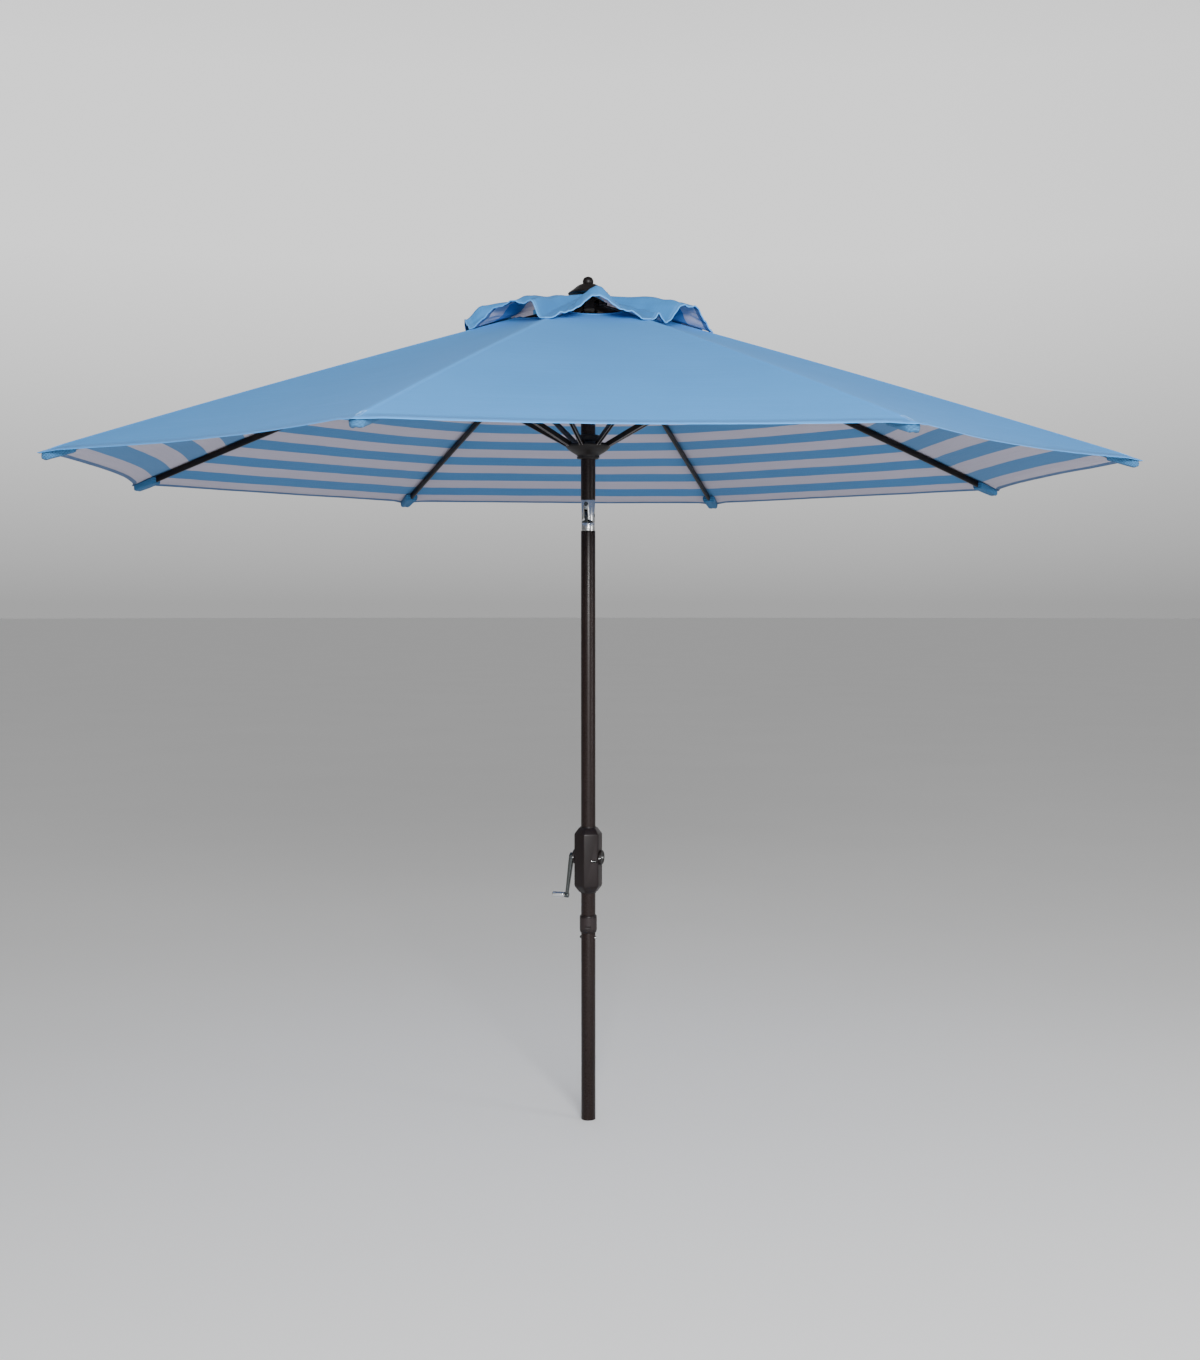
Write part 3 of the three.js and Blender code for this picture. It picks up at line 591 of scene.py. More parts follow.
def cloth_grid(surface, shares, inner, outer, steps, upper):
    """Both faces of a piece of cloth: its upper material on top, the striped one below."""
    verts, uvs = [], []
    for share in shares:
        half = half_width(inner + (outer - inner) * share)
        values = across_values(max(half, 0.02), steps)
        verts += [surface(share, across) for across in values]
        uvs += [(half * (1 - abs(across)), (outer - inner) * (1 - share)) for across in values]
    row = len(values)
    corners = [i * row + j for i in range(len(shares) - 1) for j in range(row - 1)]
    mesh = bpy.data.meshes.new("mesh")
    mesh.from_pydata(verts, [], [(a, a + row, a + row + 1, a + 1) for a in corners])
    layer = mesh.uv_layers.new(name="cloth")
    for loop in mesh.loops:
        layer.data[loop.index].uv = uvs[loop.vertex_index]
    mesh.materials.append(upper)
    mesh.materials.append(UNDER)
    return applied(mesh, "SOLIDIFY", thickness=CLOTH, offset=-1, material_offset=1, material_offset_rim=0)


def row_points(surface, share, steps, edge):
    """Points along one row of a cloth from -edge to edge, with the cloth's outward normals."""
    values = [-edge + 2 * edge * i / steps for i in range(steps + 1)]
    points = [surface(share, a) for a in values]
    inner = [surface(share - 0.01, a) for a in values]
    normals = []
    for i, point in enumerate(points):
        normal = ahead_at(points, i).cross(inner[i] - point).normalized()
        normals.append(normal if normal.z > 0 else -normal)
    return points, normals


def fold_flat(k, keep, *made):
    """Gives each piece its own copy of its mesh."""
    spin = turn(k).to_3x3()
    for extra in made:
        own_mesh(extra)


def canopy_thread(k, surface):
    """Two rows of stitches along the hem and one on each side of the rib's seam."""
    rows = [stitches(*row_points(surface, 1 - back / LENGTH, 150, 0.985)) for back in (0.0025, HEM - 0.002)]
    for side in (-1, 1):
        shares = [i / 160 for i in range(1, 157)]
        line = [surface(share, side * 0.005 / half_width(canopy_radius(share))) for share in shares]
        rows.append(stitches(line, [OUTWARD] * len(line)))
    return rib_piece(k, "canopy_stitches", joined(*rows), "piping", THREAD)


def inner_binding(k, surface):
    """Folded tape round the edge of the canopy's centre hole."""
    shape = mm((-15, 1.1), (0, 1.3), (1, 0), (0, -2), (-15, -1.8))
    sections = []
    for point, normal in zip(*row_points(surface, 0.012, 24, 1.0)):
        out = Vector((point.x, point.y, 0)).normalized()
        sections.append([point - out * (0.013 + depth) + normal * height for depth, height in shape])
    return rib_piece(k, "canopy_binding", lofted(sections), "piping", BINDING)


def canopy_sector(k):
    """The canopy over rib k, as far as half-way to the next rib on each side."""

    def surface(share, across):
        return canopy_point(share, across, k)

    hem = [1 - back / LENGTH for back in (HEM + 0.001, HEM, HEM / 2, 0.002, 0)]
    shares = [hem[0] * i / 44 for i in range(44)] + hem
    mesh = cloth_grid(surface, shares, INNER, TIP, 14, TOP)
    cloth = rib_piece(k, "canopy_cloth", mesh, "canopy", TOP, f"canopy_{k}", sharp=50)
    thread = canopy_thread(k, surface)
    tape = inner_binding(k, surface)
    fold_flat(k, CANOPY_KEEP, cloth, thread, tape)


# ---------- corner pockets


def under_cloth(radius, lateral):
    """Height just below the canopy cloth, at a sideways distance from a rib."""
    on_rib = radius + abs(lateral) * (1 - COS) / SIN
    share = (on_rib - INNER) / LENGTH
    sag = (CROWN_SAG + SAG * share**2) * mid_gore(lateral / half_width(on_rib))
    return crown(on_rib) - sag - 0.0012 - 0.0016 * smooth(0.0, 0.018, abs(lateral))


def pocket_section(radius, wide, deep, nose, pucker):
    """A cross-section of the pocket: a rounded sack below, and a top that follows the cloth."""
    section = []
    for j in range(20):
        angle = pi + pi * j / 19
        y = wide * copysign(abs(cos(angle)) ** 0.65, cos(angle))
        drop = deep * abs(sin(angle)) ** 0.6
        section.append(Vector((radius, y, under_cloth(radius, y) - nose - drop + pucker(j))))
    for j in range(1, 12):
        y = wide * (1 - 2 * j / 12)
        section.append(Vector((radius, y, under_cloth(radius, y) - nose)))
    return section


def corner_pocket(k):
    """Fabric pocket sewn under the corner, which slips over the rib's end."""
    start, end = 1.292, TIP - 0.003
    sections = []
    for i in range(15):
        t = i / 14
        mouth = 0.001 * (1 - smooth(0.0, 0.09, t))
        wide = 0.021 - 0.004 * smooth(0.0, 0.9, t) - 0.0125 * smooth(0.8, 1.0, t) ** 2 + mouth
        deep = 0.0225 - 0.001 * t - 0.0115 * smooth(0.82, 1.0, t) ** 2 + mouth
        nose = 0.006 * smooth(0.86, 1.0, t) ** 2
        ease = 0.0006 * smooth(0.1, 0.5, t)
        pucker = lambda j: ease * sin(j * 1.9 + i * 0.8)
        sections.append(pocket_section(start + (end - start) * t, wide, deep, nose, pucker))
    mesh = applied(lofted(sections), "SUBSURF", levels=1, render_levels=1)
    rib_piece(k, "corner_pocket", mesh, "canopy", SHADE_CLOTH, sharp=70)


def bar_tacks(k):
    """Reinforcing stitches through the corner, over the pocket: a cross in a box."""
    centre = 1.338
    cross = [((-0.012, -0.005), (0.012, 0.005)), ((-0.012, 0.005), (0.012, -0.005))]
    box = mm((-13, -5.5), (13, -5.5), (13, 5.5), (-13, 5.5))
    rows = []
    for a, b in (*cross, *zip(box, box[1:] + box[:1])):
        points = []
        for i in range(9):
            back, y = (a[n] + (b[n] - a[n]) * i / 8 for n in (0, 1))
            share = (centre + back - INNER) / LENGTH
            points.append(canopy_point(share, y / half_width(centre + back), k) + Z * 0.0002)
        rows.append(stitches(points, [OUTWARD] * len(points), 0.0026, 0.0004, 0.0006))
    rib_piece(k, "corner_tack", joined(*rows), "piping", TACK)


# ---------- vent cap

# How the loose cap arches over each gore, from rib to rib (-1 to 1): where the arch starts and is full, where
# it starts to fall and lands, its height at the rim, the belly behind the rim, how far the rim's flap hangs,
# and how far the rim stands out.
ARCHES = [
    (-0.85, -0.1, 0.15, 0.8, 0.044, 0.01, 0.0, -0.004), (-0.75, 0.15, 0.3, 0.95, 0.046, 0.004, 0.004, 0.004),
    (-0.9, -0.2, 0.05, 0.75, 0.042, 0.008, 0.0, -0.008), (-0.8, -0.05, 0.4, 0.9, 0.045, 0.006, 0.006, 0.0),
    (-0.9, -0.25, 0.3, 0.95, 0.06, 0.006, 0.026, 0.012), (-0.99, -0.1, 0.6, 0.84, 0.05, 0.004, 0.002, -0.002),
    (-0.76, -0.06, 0.02, 0.86, 0.05, 0.022, 0.0, 0.0), (-0.52, 0.04, 0.24, 1.02, 0.055, 0.004, 0.004, 0.01),
]


def arch(across, k):
    """(gore, place across it from rib to rib, share of the arch's height) for a point of sector k."""
    if across >= 0:
        gore, w = (k - 1) % RIBS, abs(across) - 1
    else:
        gore, w = (k - 2) % RIBS, 1 - abs(across)
    start, full, fall, land = ARCHES[gore][:4]
    return gore, w, smooth(start, full, w) * (1 - smooth(fall, land, w))


def vent_point(share, across, k):
    """A point of the cap's top, drawn on the rib along +X: share is 0 at the crown and 1 at the rim."""
    gore, w, bell = arch(across, k)
    height, belly, flap, bulge = ARCHES[gore][4:]
    on_rib = VENT_INNER + VENT_LENGTH * share
    x, y = between_ribs(on_rib + bulge * bell * share**2, across)
    lateral = half_width(on_rib) * abs(across)
    z = VENT_TOP + (crown(VENT_OUTER) + 0.0032 - VENT_TOP) * share
    puff = belly * smooth(0.3, 0.85, share) * (1 - smooth(0.85, 1.0, share))
    z += (height * share + puff - flap * smooth(0.86, 1.0, share)) * bell
    # The slack beside each rib lies in a low roll on the canopy.
    roll = exp(-(((lateral - 0.032) / 0.012) ** 2)) * smooth(0.45, 1.0, share) * (1 - bell)
    z += 0.0095 * roll * (1 + 0.45 * sin(gore * 2.4 + w * 3))
    # Soft creases run out from the crown.
    crease = smooth(0.1, 0.8, share) * smooth(0.0, 0.35, abs(across))
    z += 0.0036 * crease * sin(w * 10 + gore * 1.7 + share * 4)
    fold = sin(w * 21 - gore * 2.3 - share * 6)
    z += 0.003 * crease * (1 - abs(fold)) * (1 - 0.5 * bell)
    point = Vector((x, y, z))
    point.z += 0.006 * crease * noise.noise((turn(k) @ point) * 20)
    return point


def vent_sector(k):
    """The vent cap's sector over rib k, with piping and a row of stitches along its rim."""

    def surface(share, across):
        return vent_point(share, across, k)

    shares = [i / 36 for i in range(35)] + [0.965, 0.978, 0.99, 1.0]
    mesh = cloth_grid(surface, shares, VENT_INNER, VENT_OUTER, 26, VENT_CLOTH)
    cloth = rib_piece(k, "vent_cloth", mesh, "canopy", VENT_CLOTH, "vent_cap", sharp=60)
    edge = cord_along(row_points(surface, 1.0, 90, 1.0)[0], 0.0017)
    piping = rib_piece(k, "vent_piping", edge, "piping", BINDING)
    row = stitches(*row_points(surface, 1 - 0.01 / VENT_LENGTH, 90, 0.98))
    thread = rib_piece(k, "vent_stitches", row, "piping", THREAD)
    fold_flat(k, VENT_KEEP, cloth, piping, thread)


# ---------- ribs and struts


def rib_line(radius):
    """The middle of the rib along +X, at a radius from the pole."""
    slope = (RISE - BOW) / TIP
    return Vector((radius, 0, crown(radius) - RIB_DROP - RIB_HEIGHT / 2 * hypot(1, slope)))


def strut_ears(direction):
    """Two ears on the rib's sides that hold the strut's pin, each with its rivet head."""
    down = Vector((direction.z, 0, -direction.x))
    parts = []
    for side in (-1, 1):
        lower = [STRUT_TOP + direction * (0.0062 * cos(a)) + down * (0.0062 * sin(a))
                 for a in (pi * i / 12 for i in range(13))]
        upper = [STRUT_TOP - down * 0.015 + direction * reach for reach in (-0.013, 0.013)]
        faces = [[p + Y * (side * 0.0053 + half) for p in lower + upper] for half in (-0.0008, 0.0008)]
        parts.append(bevelled(lofted(faces), 0.0003, 2))
        head = mm((0, 6.1), (3.4, 6.1), (3.2, 7.2), (2, 8), (0, 8.2))
        parts.append(turned(head, 24, frame_at(STRUT_TOP, Y * side)))
    return parts


def rib(k):
    """The rib's bar with its eye and ears, and the cap on its end."""
    places = [rib_line(RIB_START + (RIB_END - RIB_START) * i / 28) for i in range(29)]
    direction = (places[-1] - places[0]).normalized()
    bar = swept(rounded_rectangle(RIB_WIDTH, RIB_HEIGHT - 0.0006, 0.0028), places)
    eye = rod(0.0088, -0.0046, 0.0046, 32, frame_at(places[0], Y), 0.001)
    mesh = joined(bar, eye, *strut_ears(direction))
    rib_piece(k, "rib_bar", mesh, "rib_bronze", RIB_PAINT, f"rib_{k}")
    cap = plug(mm((0, -10), (4.2, -10), (5, 0), (4.2, 3), (2, 4.2), (0, 4.5)), 32)
    cap.transform(Matrix.Diagonal((1.0, 1.75, 1, 1)))
    cap.transform(frame_at(places[-1] - direction * 0.001, direction, Y))
    rib_piece(k, "rib_end_cap", cap, "moulded", PLASTIC)


def strut(k):
    """Pressed steel channel, open below, with rounded ends, rivets at its foot, and cords along its lower edges
    painted light grey as a painted highlight.
    """
    length = (STRUT_TOP - STRUT_FOOT).length
    ahead = (STRUT_TOP - STRUT_FOOT).normalized()
    up = ahead.cross(Y)
    up = up if up.z > 0 else -up
    right = mm((1.5, 6.8), (4, 4.5), (4, -6.8), (2.9, -6.8), (2.9, 4), (1, 5.6))
    left = [(-across, height) for across, height in reversed(right)]
    outline = left[3:] + right + left[:3]
    ends = ((-0.0064, 0.45), (-0.0045, 0.8), (0.0, 1), (0.012, 1))
    stops = [*ends, (length / 2, 1), *((length - stop, pinch) for stop, pinch in reversed(ends))]
    sections = []
    for stop, pinch in stops:
        place = STRUT_FOOT + ahead * stop
        sections.append([place + Y * p[0] + up * (p[1] * pinch) for p in outline])
    bar = bevelled(lofted(sections), 0.0003, 2, 40)
    head = mm((0, 3.8), (3, 3.8), (2.6, 4.7), (0, 5))
    rivets = [turned(head, 20, frame_at(STRUT_FOOT, Y * side)) for side in (-1, 1)]
    mesh = joined(bar, *rivets)
    rib_piece(k, "strut_channel", mesh, "rib_bronze", RIB_PAINT, f"strut_{k}", body="strut_body")
    # Cords along the lower edges, painted light grey: a painted highlight.
    highlight_cords = []
    for y in (-0.0037, 0.0037):
        edge = STRUT_FOOT + Y * y - up * 0.0068
        highlight_cords.append(cord_along([edge + ahead * stop for stop in (0.01, length / 2, length - 0.01)], 0.00085))
    rib_piece(k, "strut_edge_highlight", joined(*highlight_cords), "steel", EDGE_HIGHLIGHT_PAINT, body="strut_body")


# ---------- hub, runner, finial


def top_hub():
    """The slotted hub that the ribs hang in, with its stem for the finial."""
    axis = rib_line(RIB_START).z
    roof = axis + 0.013
    socket, step = POLE + 0.0003, POLE - 0.003
    outline = [
        (socket, 2.095), (0.024, 2.095), (0.024, axis - 0.022), (0.046, axis - 0.016), (0.05, axis - 0.01),
        (0.05, roof + 0.003), (0.046, roof + 0.006), (0.013, roof + 0.006), (0.013, 2.166), (0.0064, 2.166),
        (0.0064, 2.124), (step, 2.124), (step, 2.1183), (socket, 2.1183),
    ]
    slots = [block((0.0244, -0.0056, axis - 0.04), (0.08, 0.0056, roof), turn(k + 1)) for k in range(RIBS)]
    piece("ribbed_top_hub", cut(ringed(outline), joined(*slots)), "head", "moulded", PLASTIC, "top_hub")


def runner_slots(low):
    """Slots for the struts, open above, with a floor that slopes like the struts."""
    slope = (STRUT_TOP.z - STRUT_FOOT.z) / (STRUT_TOP.x - STRUT_FOOT.x)
    inner, outer, top = 0.0335, 0.08, low + 0.09
    floor_inner = STRUT_FOOT.z - 0.009
    side = [(inner, floor_inner), (outer, floor_inner + slope * (outer - inner)), (outer, top), (inner, top)]
    tools = []
    for k in range(1, RIBS + 1):
        tool = lofted([[Vector((x, y, z)) for x, z in side] for y in (-0.0052, 0.0052)])
        tool.transform(turn(k))
        tools.append(tool)
    return joined(*tools)


def runner():
    """The bell that slides on the pole and carries the struts' feet, with a screw on each side."""
    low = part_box("runner")[0].z
    bell = mm((26.2, 0), (28, 2.5), (28, 9), (33.5, 12.5), (43, 18), (52, 24.5), (57.5, 30.5), (58.5, 34.5),
              (57.2, 38.5), (53, 40.5), (40, 42), (32.2, 46.5), (31, 52), (31, 60), (29, 62))
    bell = [(POLE + 0.0016, 0), *bell, (POLE + 0.0016, 0.062)]
    body = ringed([(radius, low + height) for radius, height in bell], 128, radius=0.003)
    piece("runner_bell", cut(body, runner_slots(low)), "slider", "moulded", PLASTIC, "runner")
    for side, name in SIDES:
        seat = frame_at((side * 0.0276, 0, low + 0.0047), X * side)
        head = mm((0, 0), (3.7, 0), (3.7, 1), (2.8, 2.4), (1.2, 3), (0, 3.1))
        long, wide = 0.0026, 0.0004
        cross = [block((-x, -y, 0.0018), (x, y, 0.005), seat) for x, y in ((long, wide), (wide, long))]
        screw = cut(turned(head, 40, seat), *cross)
        piece(f"runner_screw_head_{name}", screw, "slider", "steel", DARK_CHROME, f"runner_screw_{name}")


def finial():
    """A wide cap over the vent's hole, with a round knob."""
    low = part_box("finial")[0].z
    dome = mm((6, 2168.4), (50, 2168.4), (52.2, 2169.2), (52.5, 2170.2), (51.2, 2172.2), (46.5, 2175.7),
              (40, 2180), (33, 2185.7), (27, 2190.5), (20.5, 2193.7), (14, 2195.3),
              (9.5, 2196.2), (8.2, 2197.2))
    knob = arc((0, 2.201), 0.0142, -52, 90, 14)[1:11]
    mesh = turned([(0, low), (0.006, low), *dome, *knob, (0, 2.2152)])
    piece("finial_knob", mesh, "head", "moulded", PLASTIC, "finial", sharp=45)


# ---------- poles


def tube(low, high):
    """A length of the pole."""
    outline = [(POLE - WALL, low), (POLE, low), (POLE, high), (POLE - WALL, high)]
    return ringed(outline, radius=0.0005)


def poles():
    """The lower, middle and upper pole, and the plug in the foot."""
    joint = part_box("lower_pole")[1].z
    tilt_low, tilt_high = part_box("middle_pole")[1].z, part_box("upper_pole")[0].z
    holes = rod(0.0043, -0.03, 0.03, 32, frame_at(Z * SNAP_HEIGHT, X))
    piece("lower_pole_tube", cut(tube(0.0, joint), holes), "pole", "bronze", BRONZE, "lower_pole")
    piece("middle_pole_tube", tube(joint + 0.0003, tilt_low), "pole", "bronze", BRONZE, "middle_pole")
    upper = tube(tilt_high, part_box("upper_pole")[1].z)
    piece("upper_pole_tube", upper, "head", "bronze", BRONZE, "upper_pole")
    foot = [(0, 0), (POLE - 0.002, 0), (POLE - 0.002, 0.025), (0.012, 0.025), (0.012, 0.004), (0, 0.004)]
    piece("foot_end_plug", plug(foot, 64, radius=0.0012), "pole", "moulded", PLASTIC, "foot_plug")


def collar():
    """The moulded collar over the poles' joint, with two grooves and a small window."""
    inner = POLE + 0.0003
    sleeve = mm((20.6, 500), (21.9, 502.5), (22.7, 507.5), (22.7, 540.5), (22.2, 544), (20.8, 546))
    window = bevelled(block((0.0213, -0.0085, 0.511), (0.026, 0.0085, 0.519)), 0.0015)
    window.transform(Matrix.Rotation(radians(-72), 4, "Z"))
    grooves = [ringed([(0.0223, z), (0.024, z), (0.024, z + 0.0008), (0.0223, z + 0.0008)], radius=0.0001)
               for z in (0.5062, 0.5388)]
    mesh = cut(ringed([(inner, 0.5), *sleeve, (inner, 0.546)], radius=0.0016), window, *grooves)
    piece("pole_joint_collar", mesh, "pole", "moulded", HOUSING, "pole_collar")


def snap_buttons():
    """The two round-headed buttons that lock the poles together."""
    head = [(0, 0.012), (0.004, 0.012), (0.004, 0.0205), *arc((0.001, 0.0205), 0.003, 0, 80, 6), (0, 0.0236)]
    # The two like buttons take different finishes: dark chrome on the left as painted shade, brighter steel on
    # the right as painted highlight.
    for (side, name), material in zip(SIDES, (DARK_CHROME, STEEL)):
        mesh = turned(head, 40, frame_at(Z * SNAP_HEIGHT, X * side))
        piece(f"snap_button_pin_{name}", mesh, f"snap_{name}", "steel", material, f"snap_button_{name}")


def snap_leaves():
    """The hairpin leaf spring in two halves, each pressed in by its own button."""
    bend, leg = arc((0, 0.526), 0.0055, 90, 0, 10), (0.0111, 0.48)
    path = [Vector((x, 0, z)) for x, z in (*bend, leg)]
    for name, angle in (("right", 0), ("left", pi)):
        mesh = swept(rounded_rectangle(0.007, 0.001, 0.0003), path)
        mesh.transform(Matrix.Rotation(angle, 4, "Z"))
        leaf = piece(f"snap_leaf_{name}", mesh, "pole", "steel", STEEL, "snap_spring")
        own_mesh(leaf)


# ---------- crank housing and crank


def hexagon_loft(levels):
    """A six-sided solid through (width across flats, height) levels."""
    corners = [pi / 6 + pi / 3 * i for i in range(6)]
    return lofted([[polar(flats / 2 / cos(pi / 6), a, height) for a in corners] for flats, height in levels])


def pawl_slot():
    """The tool for the slot in the housing's front right face, and the pin that shows in it."""
    normal, tangent = polar(1, radians(-60)), polar(1, radians(30))
    middle = normal * 0.033 + tangent * 0.0085 + Z * (SHAFT - 0.0085)
    seat = frame_at(middle, normal, Z)
    oval = arc((0.004, 0), 0.0036, -90, 90, 10) + arc((-0.004, 0), 0.0036, 90, 270, 10)
    slot = lofted([[seat @ Vector((x, y, depth)) for x, y in oval] for depth in (-0.006, 0.01)])
    return slot, rod(0.0019, -0.007, 0.007, 32, frame_at(middle - normal * 0.0049, tangent), 0.0004)


def housing():
    """Six-sided die-cast housing in a front and a back half, with its seals on the pole."""
    low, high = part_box("housing_front")[0].z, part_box("housing_front")[1].z
    neck, flats, chamfer, wall = 2 * POLE + 0.005, 0.066, 0.017, 0.003
    levels = [(neck, low), (flats, low + chamfer), (flats, high - chamfer), (neck, high)]
    skin = bevelled(hexagon_loft(levels), 0.0028, 4, 20)
    lifts = (0.005, 0.004, -0.004, -0.005)
    inside = hexagon_loft([(width - 2 * wall, z + lift) for (width, z), lift in zip(levels, lifts)])
    bore = rod(POLE + 0.0003, low - 0.01, high + 0.01)
    shaft = rod(0.0094, -0.06, 0.06, 48, frame_at(Z * SHAFT, X))
    slot, pin = pawl_slot()
    whole = cut(skin, inside, bore, shaft, slot)
    reach, gap = 0.08, 0.00012
    halves = (("front", -gap, reach), ("back", -reach, gap))
    for name, start, end in halves:
        half = cut(whole, block((-reach, start, low - 0.02), (reach, end, high + 0.02)))
        piece(f"housing_shell_{name}", half, "pole", "bronze", HOUSING, f"housing_{name}", sharp=40)
    piece("pawl_cross_pin", pin, "pole", "chrome", CHROME, "pawl_pin")
    for level, sign, name in ((high, 1, "upper"), (low, -1, "lower")):
        outline = [(POLE + 0.0002, -0.001), (0.0214, -0.001), (0.021, 0.0016), (POLE + 0.0002, 0.002)]
        seal = ringed([(radius, level + sign * out) for radius, out in outline], 80, radius=0.0005)
        piece(f"housing_{name}_seal", seal, "pole", "moulded", PLASTIC)


def bosses():
    """The round boss on each side of the housing that carries the crank's shaft, with its set pin."""
    face = BOSS_FACE + 0.0065
    rim, dish = face - 0.0018, face - 0.0008
    outline = [(0.0042, 0.018), (0.009, 0.018), (0.009, BOSS_FACE), (0.0195, BOSS_FACE), (0.0195, rim),
               (0.0172, face), (0.0125, face), (0.0118, dish), (0.0042, dish)]
    for side, name in SIDES:
        seat = frame_at((side * (BOSS_FACE + 0.003), 0, SHAFT), -Y)
        body = ringed(outline, 96, frame_at(Z * SHAFT, X * side), 0.0009)
        mesh = cut(body, rod(0.0026, 0.012, 0.03, 32, seat))
        piece(f"shaft_boss_{name}", mesh, "pole", "moulded", PLASTIC, f"bushing_{name}")
        pin = plug(mm((0, 12.3), (2.3, 12.3), (2.3, 20.5), (0, 20.8)), 32, seat, 0.0008)
        piece(f"boss_set_pin_{name}", pin, "pole", "chrome", CHROME, f"bushing_pin_{name}")


def crank():
    """The tapered arm with its hub, nut and knuckle, the grip, and the shaft's other end."""
    hub_x, foot_x, low, end = -0.0408, -0.064, SHAFT - GRIP_DROP, 0.0374
    sections = []
    for i in range(13):
        t = i / 12
        x = (hub_x - 0.0045) * (1 - t) + (foot_x + 0.0042) * t
        z = SHAFT + 0.004 - (GRIP_DROP + 0.004) * t
        width, thick = 0.016 - 0.0042 * t, 0.0122 - 0.0042 * smooth(0.0, 1.0, t)
        sections.append([Vector((x + p[1], p[0], z)) for p in rounded_rectangle(width, thick, 0.0026, 3)])
    hub = rod(0.0102, 0.0, 0.0088, 64, frame_at((hub_x, 0, SHAFT), -X), 0.0015)
    nut = plug(mm((0, 0), (5.2, 0), (5.2, 2.2), (3.5, 3.4), (0, 3.6)), 6,
               frame_at((hub_x - 0.0088, 0, SHAFT), -X), 0.0006)
    knuckle = rod(0.0078, 0.0, 0.0088, 64, frame_at((foot_x + 0.0092, 0, low), -X), 0.0015)
    arm = joined(lofted(sections), hub, nut, knuckle)
    piece("crank_arm_bar", arm, "crank", "chrome", DARK_CHROME, "crank_arm")
    outline = mm((0, 0.5), (6.8, 0.5), (8, 2), (8, 5), (7.7, 5.6), (8, 6.2))
    outline += [(0.008, end - 0.005), *arc((0.0045, end - 0.0045), 0.0035, 0, 80, 6), (0, end)]
    sleeve = turned(outline, 72, frame_at((foot_x, 0, low), -X))
    piece("crank_grip_sleeve", sleeve, "grip", "chrome", CHROME, "crank_grip")
    outline = mm((0, -4), (4, -4), (4, 0.6), (0, 1.2))
    cap = plug(outline, 40, frame_at((0.0395, 0, SHAFT), X), 0.0006)
    piece("crank_shaft_end", cap, "crank", "steel", STEEL)


# ---------- tilt joint


def slab(outline, half):
    """A slab across the tilt joint, from a (y, z) outline and half its width."""
    return lofted([[Vector((x, y, z)) for y, z in outline] for x in (-half, half)])


def tilt_base():
    """The lower half: a grooved knuckle on a stub in the pole, and the tongue between the fork's legs."""
    low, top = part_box("middle_pole")[1].z, TILT_AXIS - 0.0188
    base = ringed([(0.003, low - 0.03), (STUB, low - 0.03), (STUB, low + 0.0002), (KNUCKLE, low + 0.0003),
                   (KNUCKLE, top), (0.003, top)], radius=0.0006)
    groove = [(0.0172, low + 0.0035), (0.02, low + 0.0035), (0.02, low + 0.005), (0.0172, low + 0.005)]
    base = cut(base, ringed(groove, radius=0.0001))
    piece("tilt_lower_knuckle", base, "pole", "chrome", CHROME, "tilt_base")
    flush, half = 0.017, 0.0042
    barrel = rod(flush, TILT_AXIS - 0.0235, TILT_AXIS + 0.03, rounding=0.0001)
    nose = arc((0, TILT_AXIS), flush, 0, 180, 32)
    nose += [(-flush - 0.01, TILT_AXIS - 0.03), (flush + 0.01, TILT_AXIS - 0.03)]
    tongue = bevelled(boolean(barrel, slab(nose, half), "INTERSECT"), 0.0005, 2, 40)
    piece("tilt_lower_tongue", tongue, "pole", "steel", DARK_CHROME)


def tilt_fork():
    """The upper half: two round-ended legs under a stub in the pole, bored for the pin and the button."""
    low, high = TILT_AXIS - 0.018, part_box("upper_pole")[0].z
    fork = ringed([(0.003, low), (KNUCKLE, low), (KNUCKLE, high - 0.0003), (STUB, high - 0.0003),
                   (STUB, high + 0.03), (0.003, high + 0.03)], radius=0.0006)
    legs = arc((0, TILT_AXIS), KNUCKLE, 180, 360, 24) + [(0.02, high + 0.04), (-0.02, high + 0.04)]
    slot = block((-0.0049, -0.03, TILT_AXIS - 0.04), (0.0049, 0.03, TILT_AXIS + 0.0185))
    bore = rod(0.0058, 0.006, 0.03, 48, frame_at(Z * BUTTON_HEIGHT, -Y))
    pin_hole = rod(0.0043, -0.03, 0.03, 48, frame_at(Z * TILT_AXIS, X))
    notch = block((-0.0012, -0.0215, TILT_AXIS + 0.0195), (0.0012, -0.0172, TILT_AXIS + 0.023))
    fork = cut(boolean(fork, slab(legs, 0.03), "INTERSECT"), slot, bore, pin_hole, notch)
    piece("tilt_upper_fork", fork, "head", "chrome", CHROME, "tilt_fork")


def tilt_button():
    """The push button with its dished face."""
    outline = [*mm((0, 11), (5.5, 11), (5.5, 18)), *arc((0.0045, 0.018), 0.001, 0, 80, 4)]
    outline += mm((3, 19.1), (1.5, 18.8), (0, 18.7))
    button = turned(outline, 48, frame_at(Z * BUTTON_HEIGHT, -Y))
    piece("tilt_push_button", button, "button", "chrome", DARK_CHROME, "tilt_button")


def hinge_pin():
    pin = rod(0.004, -0.0174, 0.0174, 40, frame_at(Z * TILT_AXIS, X), 0.0006)
    piece("tilt_hinge_pin", pin, "pole", "steel", DARK_CHROME, "tilt_pin")


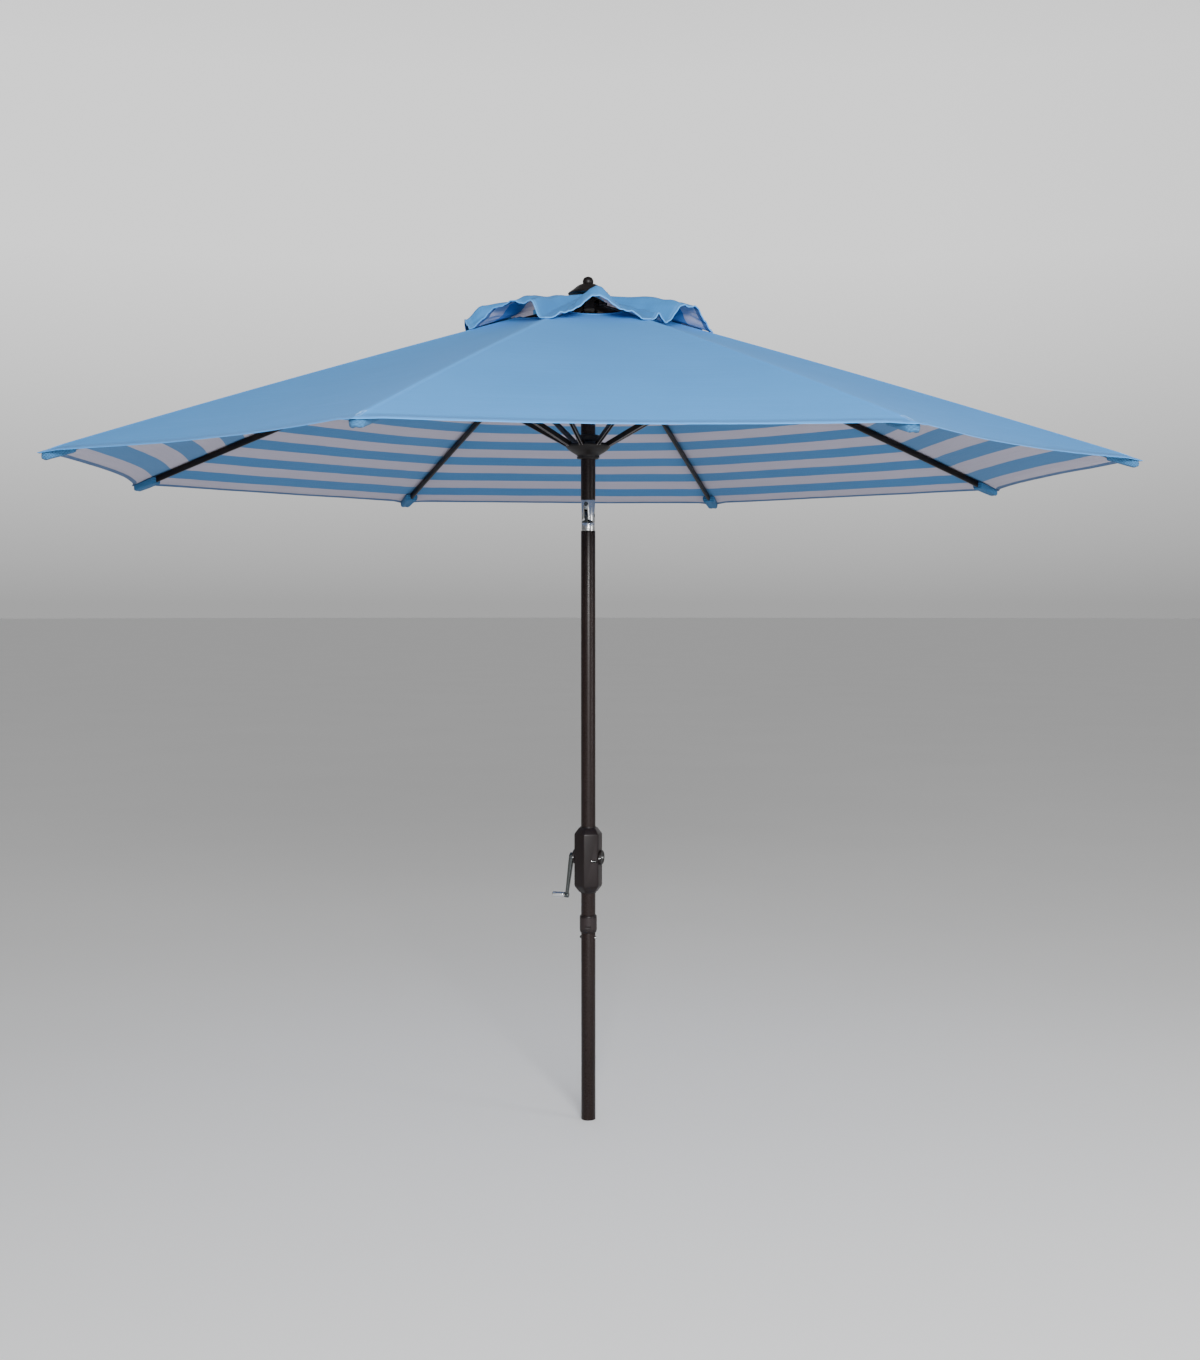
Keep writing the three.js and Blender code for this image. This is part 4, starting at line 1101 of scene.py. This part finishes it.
def button_coil():
    """The coil spring behind the tilt joint's button, which shortens as the button goes in."""
    turns, steps, radius = 4, 64, 0.0035
    inner, outer = 0.0069, 0.0102
    points = []
    for i in range(steps + 1):
        angle = tau * turns * i / steps
        depth = inner + (outer - inner) * i / steps
        points.append(Vector((radius * cos(angle), -depth, BUTTON_HEIGHT + radius * sin(angle))))
    coil = piece("tilt_button_coil", cord_along(points, 0.0004, Y), "head", "steel", STEEL, "tilt_spring")
    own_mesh(coil)


# ---------- assembly


for k in range(1, RIBS + 1):
    for build in (rib, strut, canopy_sector, corner_pocket, bar_tacks, vent_sector):
        build(k)
for build in (top_hub, runner, finial, poles, collar, snap_buttons, snap_leaves, housing, bosses, crank,
              tilt_base, tilt_fork, tilt_button, hinge_pin, button_coil):
    build()

HIDDEN = {
    "pole_sleeve": STEEL, "crank_axle": STEEL, "crank_spool": PLASTIC, "rope_pulley": PLASTIC,
    "pulley_axle": STEEL, "hub_ring": STEEL,
}
for name, material in HIDDEN.items():
    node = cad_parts[name]
    node.data.materials.clear()
    node.data.materials.append(material)


# ---------- floor, light, camera


def floor():
    mesh = rod(150, 0, -0.02)
    g = Graph("floor_pale", 0.9, Specular_IOR_Level=0.1)
    g.link(g.mix(g.ramp(g.noise(0.8), 0.3, 0.7), (0.92, 0.92, 0.92), (0.94, 0.94, 0.94)), "Base Color")
    mesh.materials.append(g.material)
    in_scene("floor", mesh)


def area_light(name, place, target, size, power):
    data = bpy.data.lights.new(name, "AREA")
    data.shape = "RECTANGLE"
    data.size, data.size_y = size
    data.energy = power
    lamp = in_scene(name, data)
    lamp.location = place
    lamp.rotation_euler = (Vector(target) - Vector(place)).to_track_quat("-Z", "Y").to_euler()


def studio():
    """A pale room, darker overhead and to both sides, with soft boxes in front and to the right."""
    world = bpy.data.worlds.new("studio")
    bpy.context.scene.world = world
    world.use_nodes = True
    room = Nodes(world.node_tree)
    direction = room.node("TexCoord").outputs["Generated"]
    height = room.node("SeparateXYZ", None, i0=direction).outputs[2]

    def toward(way):
        return room.node("VectorMath", {"operation": "DOT_PRODUCT"}, i0=direction, i1=way).outputs["Value"]

    strength = room.ramp(height, 0.3, 0.72, 1.0, 0.13)
    for share in (
        room.ramp(height, 0.0, 0.2, 0.45, 1.25),
        room.ramp(toward(FRONT), 0.35, 0.95, 1.0, 1.3),
        room.ramp(toward(SIDEWAYS), 0.3, 0.95, 1.0, 0.65),
        room.ramp(toward(SIDEWAYS), -0.35, -0.9, 1.0, 0.3),
    ):
        strength = room.math("MULTIPLY", strength, share)
    background = room.tree.nodes["Background"].inputs
    room.put(strength, background["Strength"])
    room.put((1, 1, 1, 1), background["Color"])
    area_light("key", (2.6, -5.6, 2.85), (0, 0, 1.9), (2.4, 1.4), 500)
    area_light("low_fill", (2.2, -5.4, 0.9), (0, 0, 1.6), (2.4, 1.2), 24)
    area_light("side_box", (4.2, -0.6, 1.5), (0, 0, 1.3), (0.7, 2.2), 36)


def camera():
    """The photograph's viewpoint: a little below the hem, in front and to the right."""
    data = bpy.data.cameras.new("camera")
    data.sensor_fit = "HORIZONTAL"
    data.sensor_width, data.lens, data.clip_end = 36, 49.46, 200
    eye = in_scene("camera", data)
    azimuth, distance, height = radians(-71.8), 4.322, 1.3685
    heading, pitch = radians(107.79), radians(-2.674)
    eye.location = polar(distance, azimuth, height)
    forward = polar(cos(pitch), heading, sin(pitch))
    eye.rotation_euler = forward.to_track_quat("-Z", "Y").to_euler()
    bpy.context.scene.camera = eye


floor()
studio()
camera()
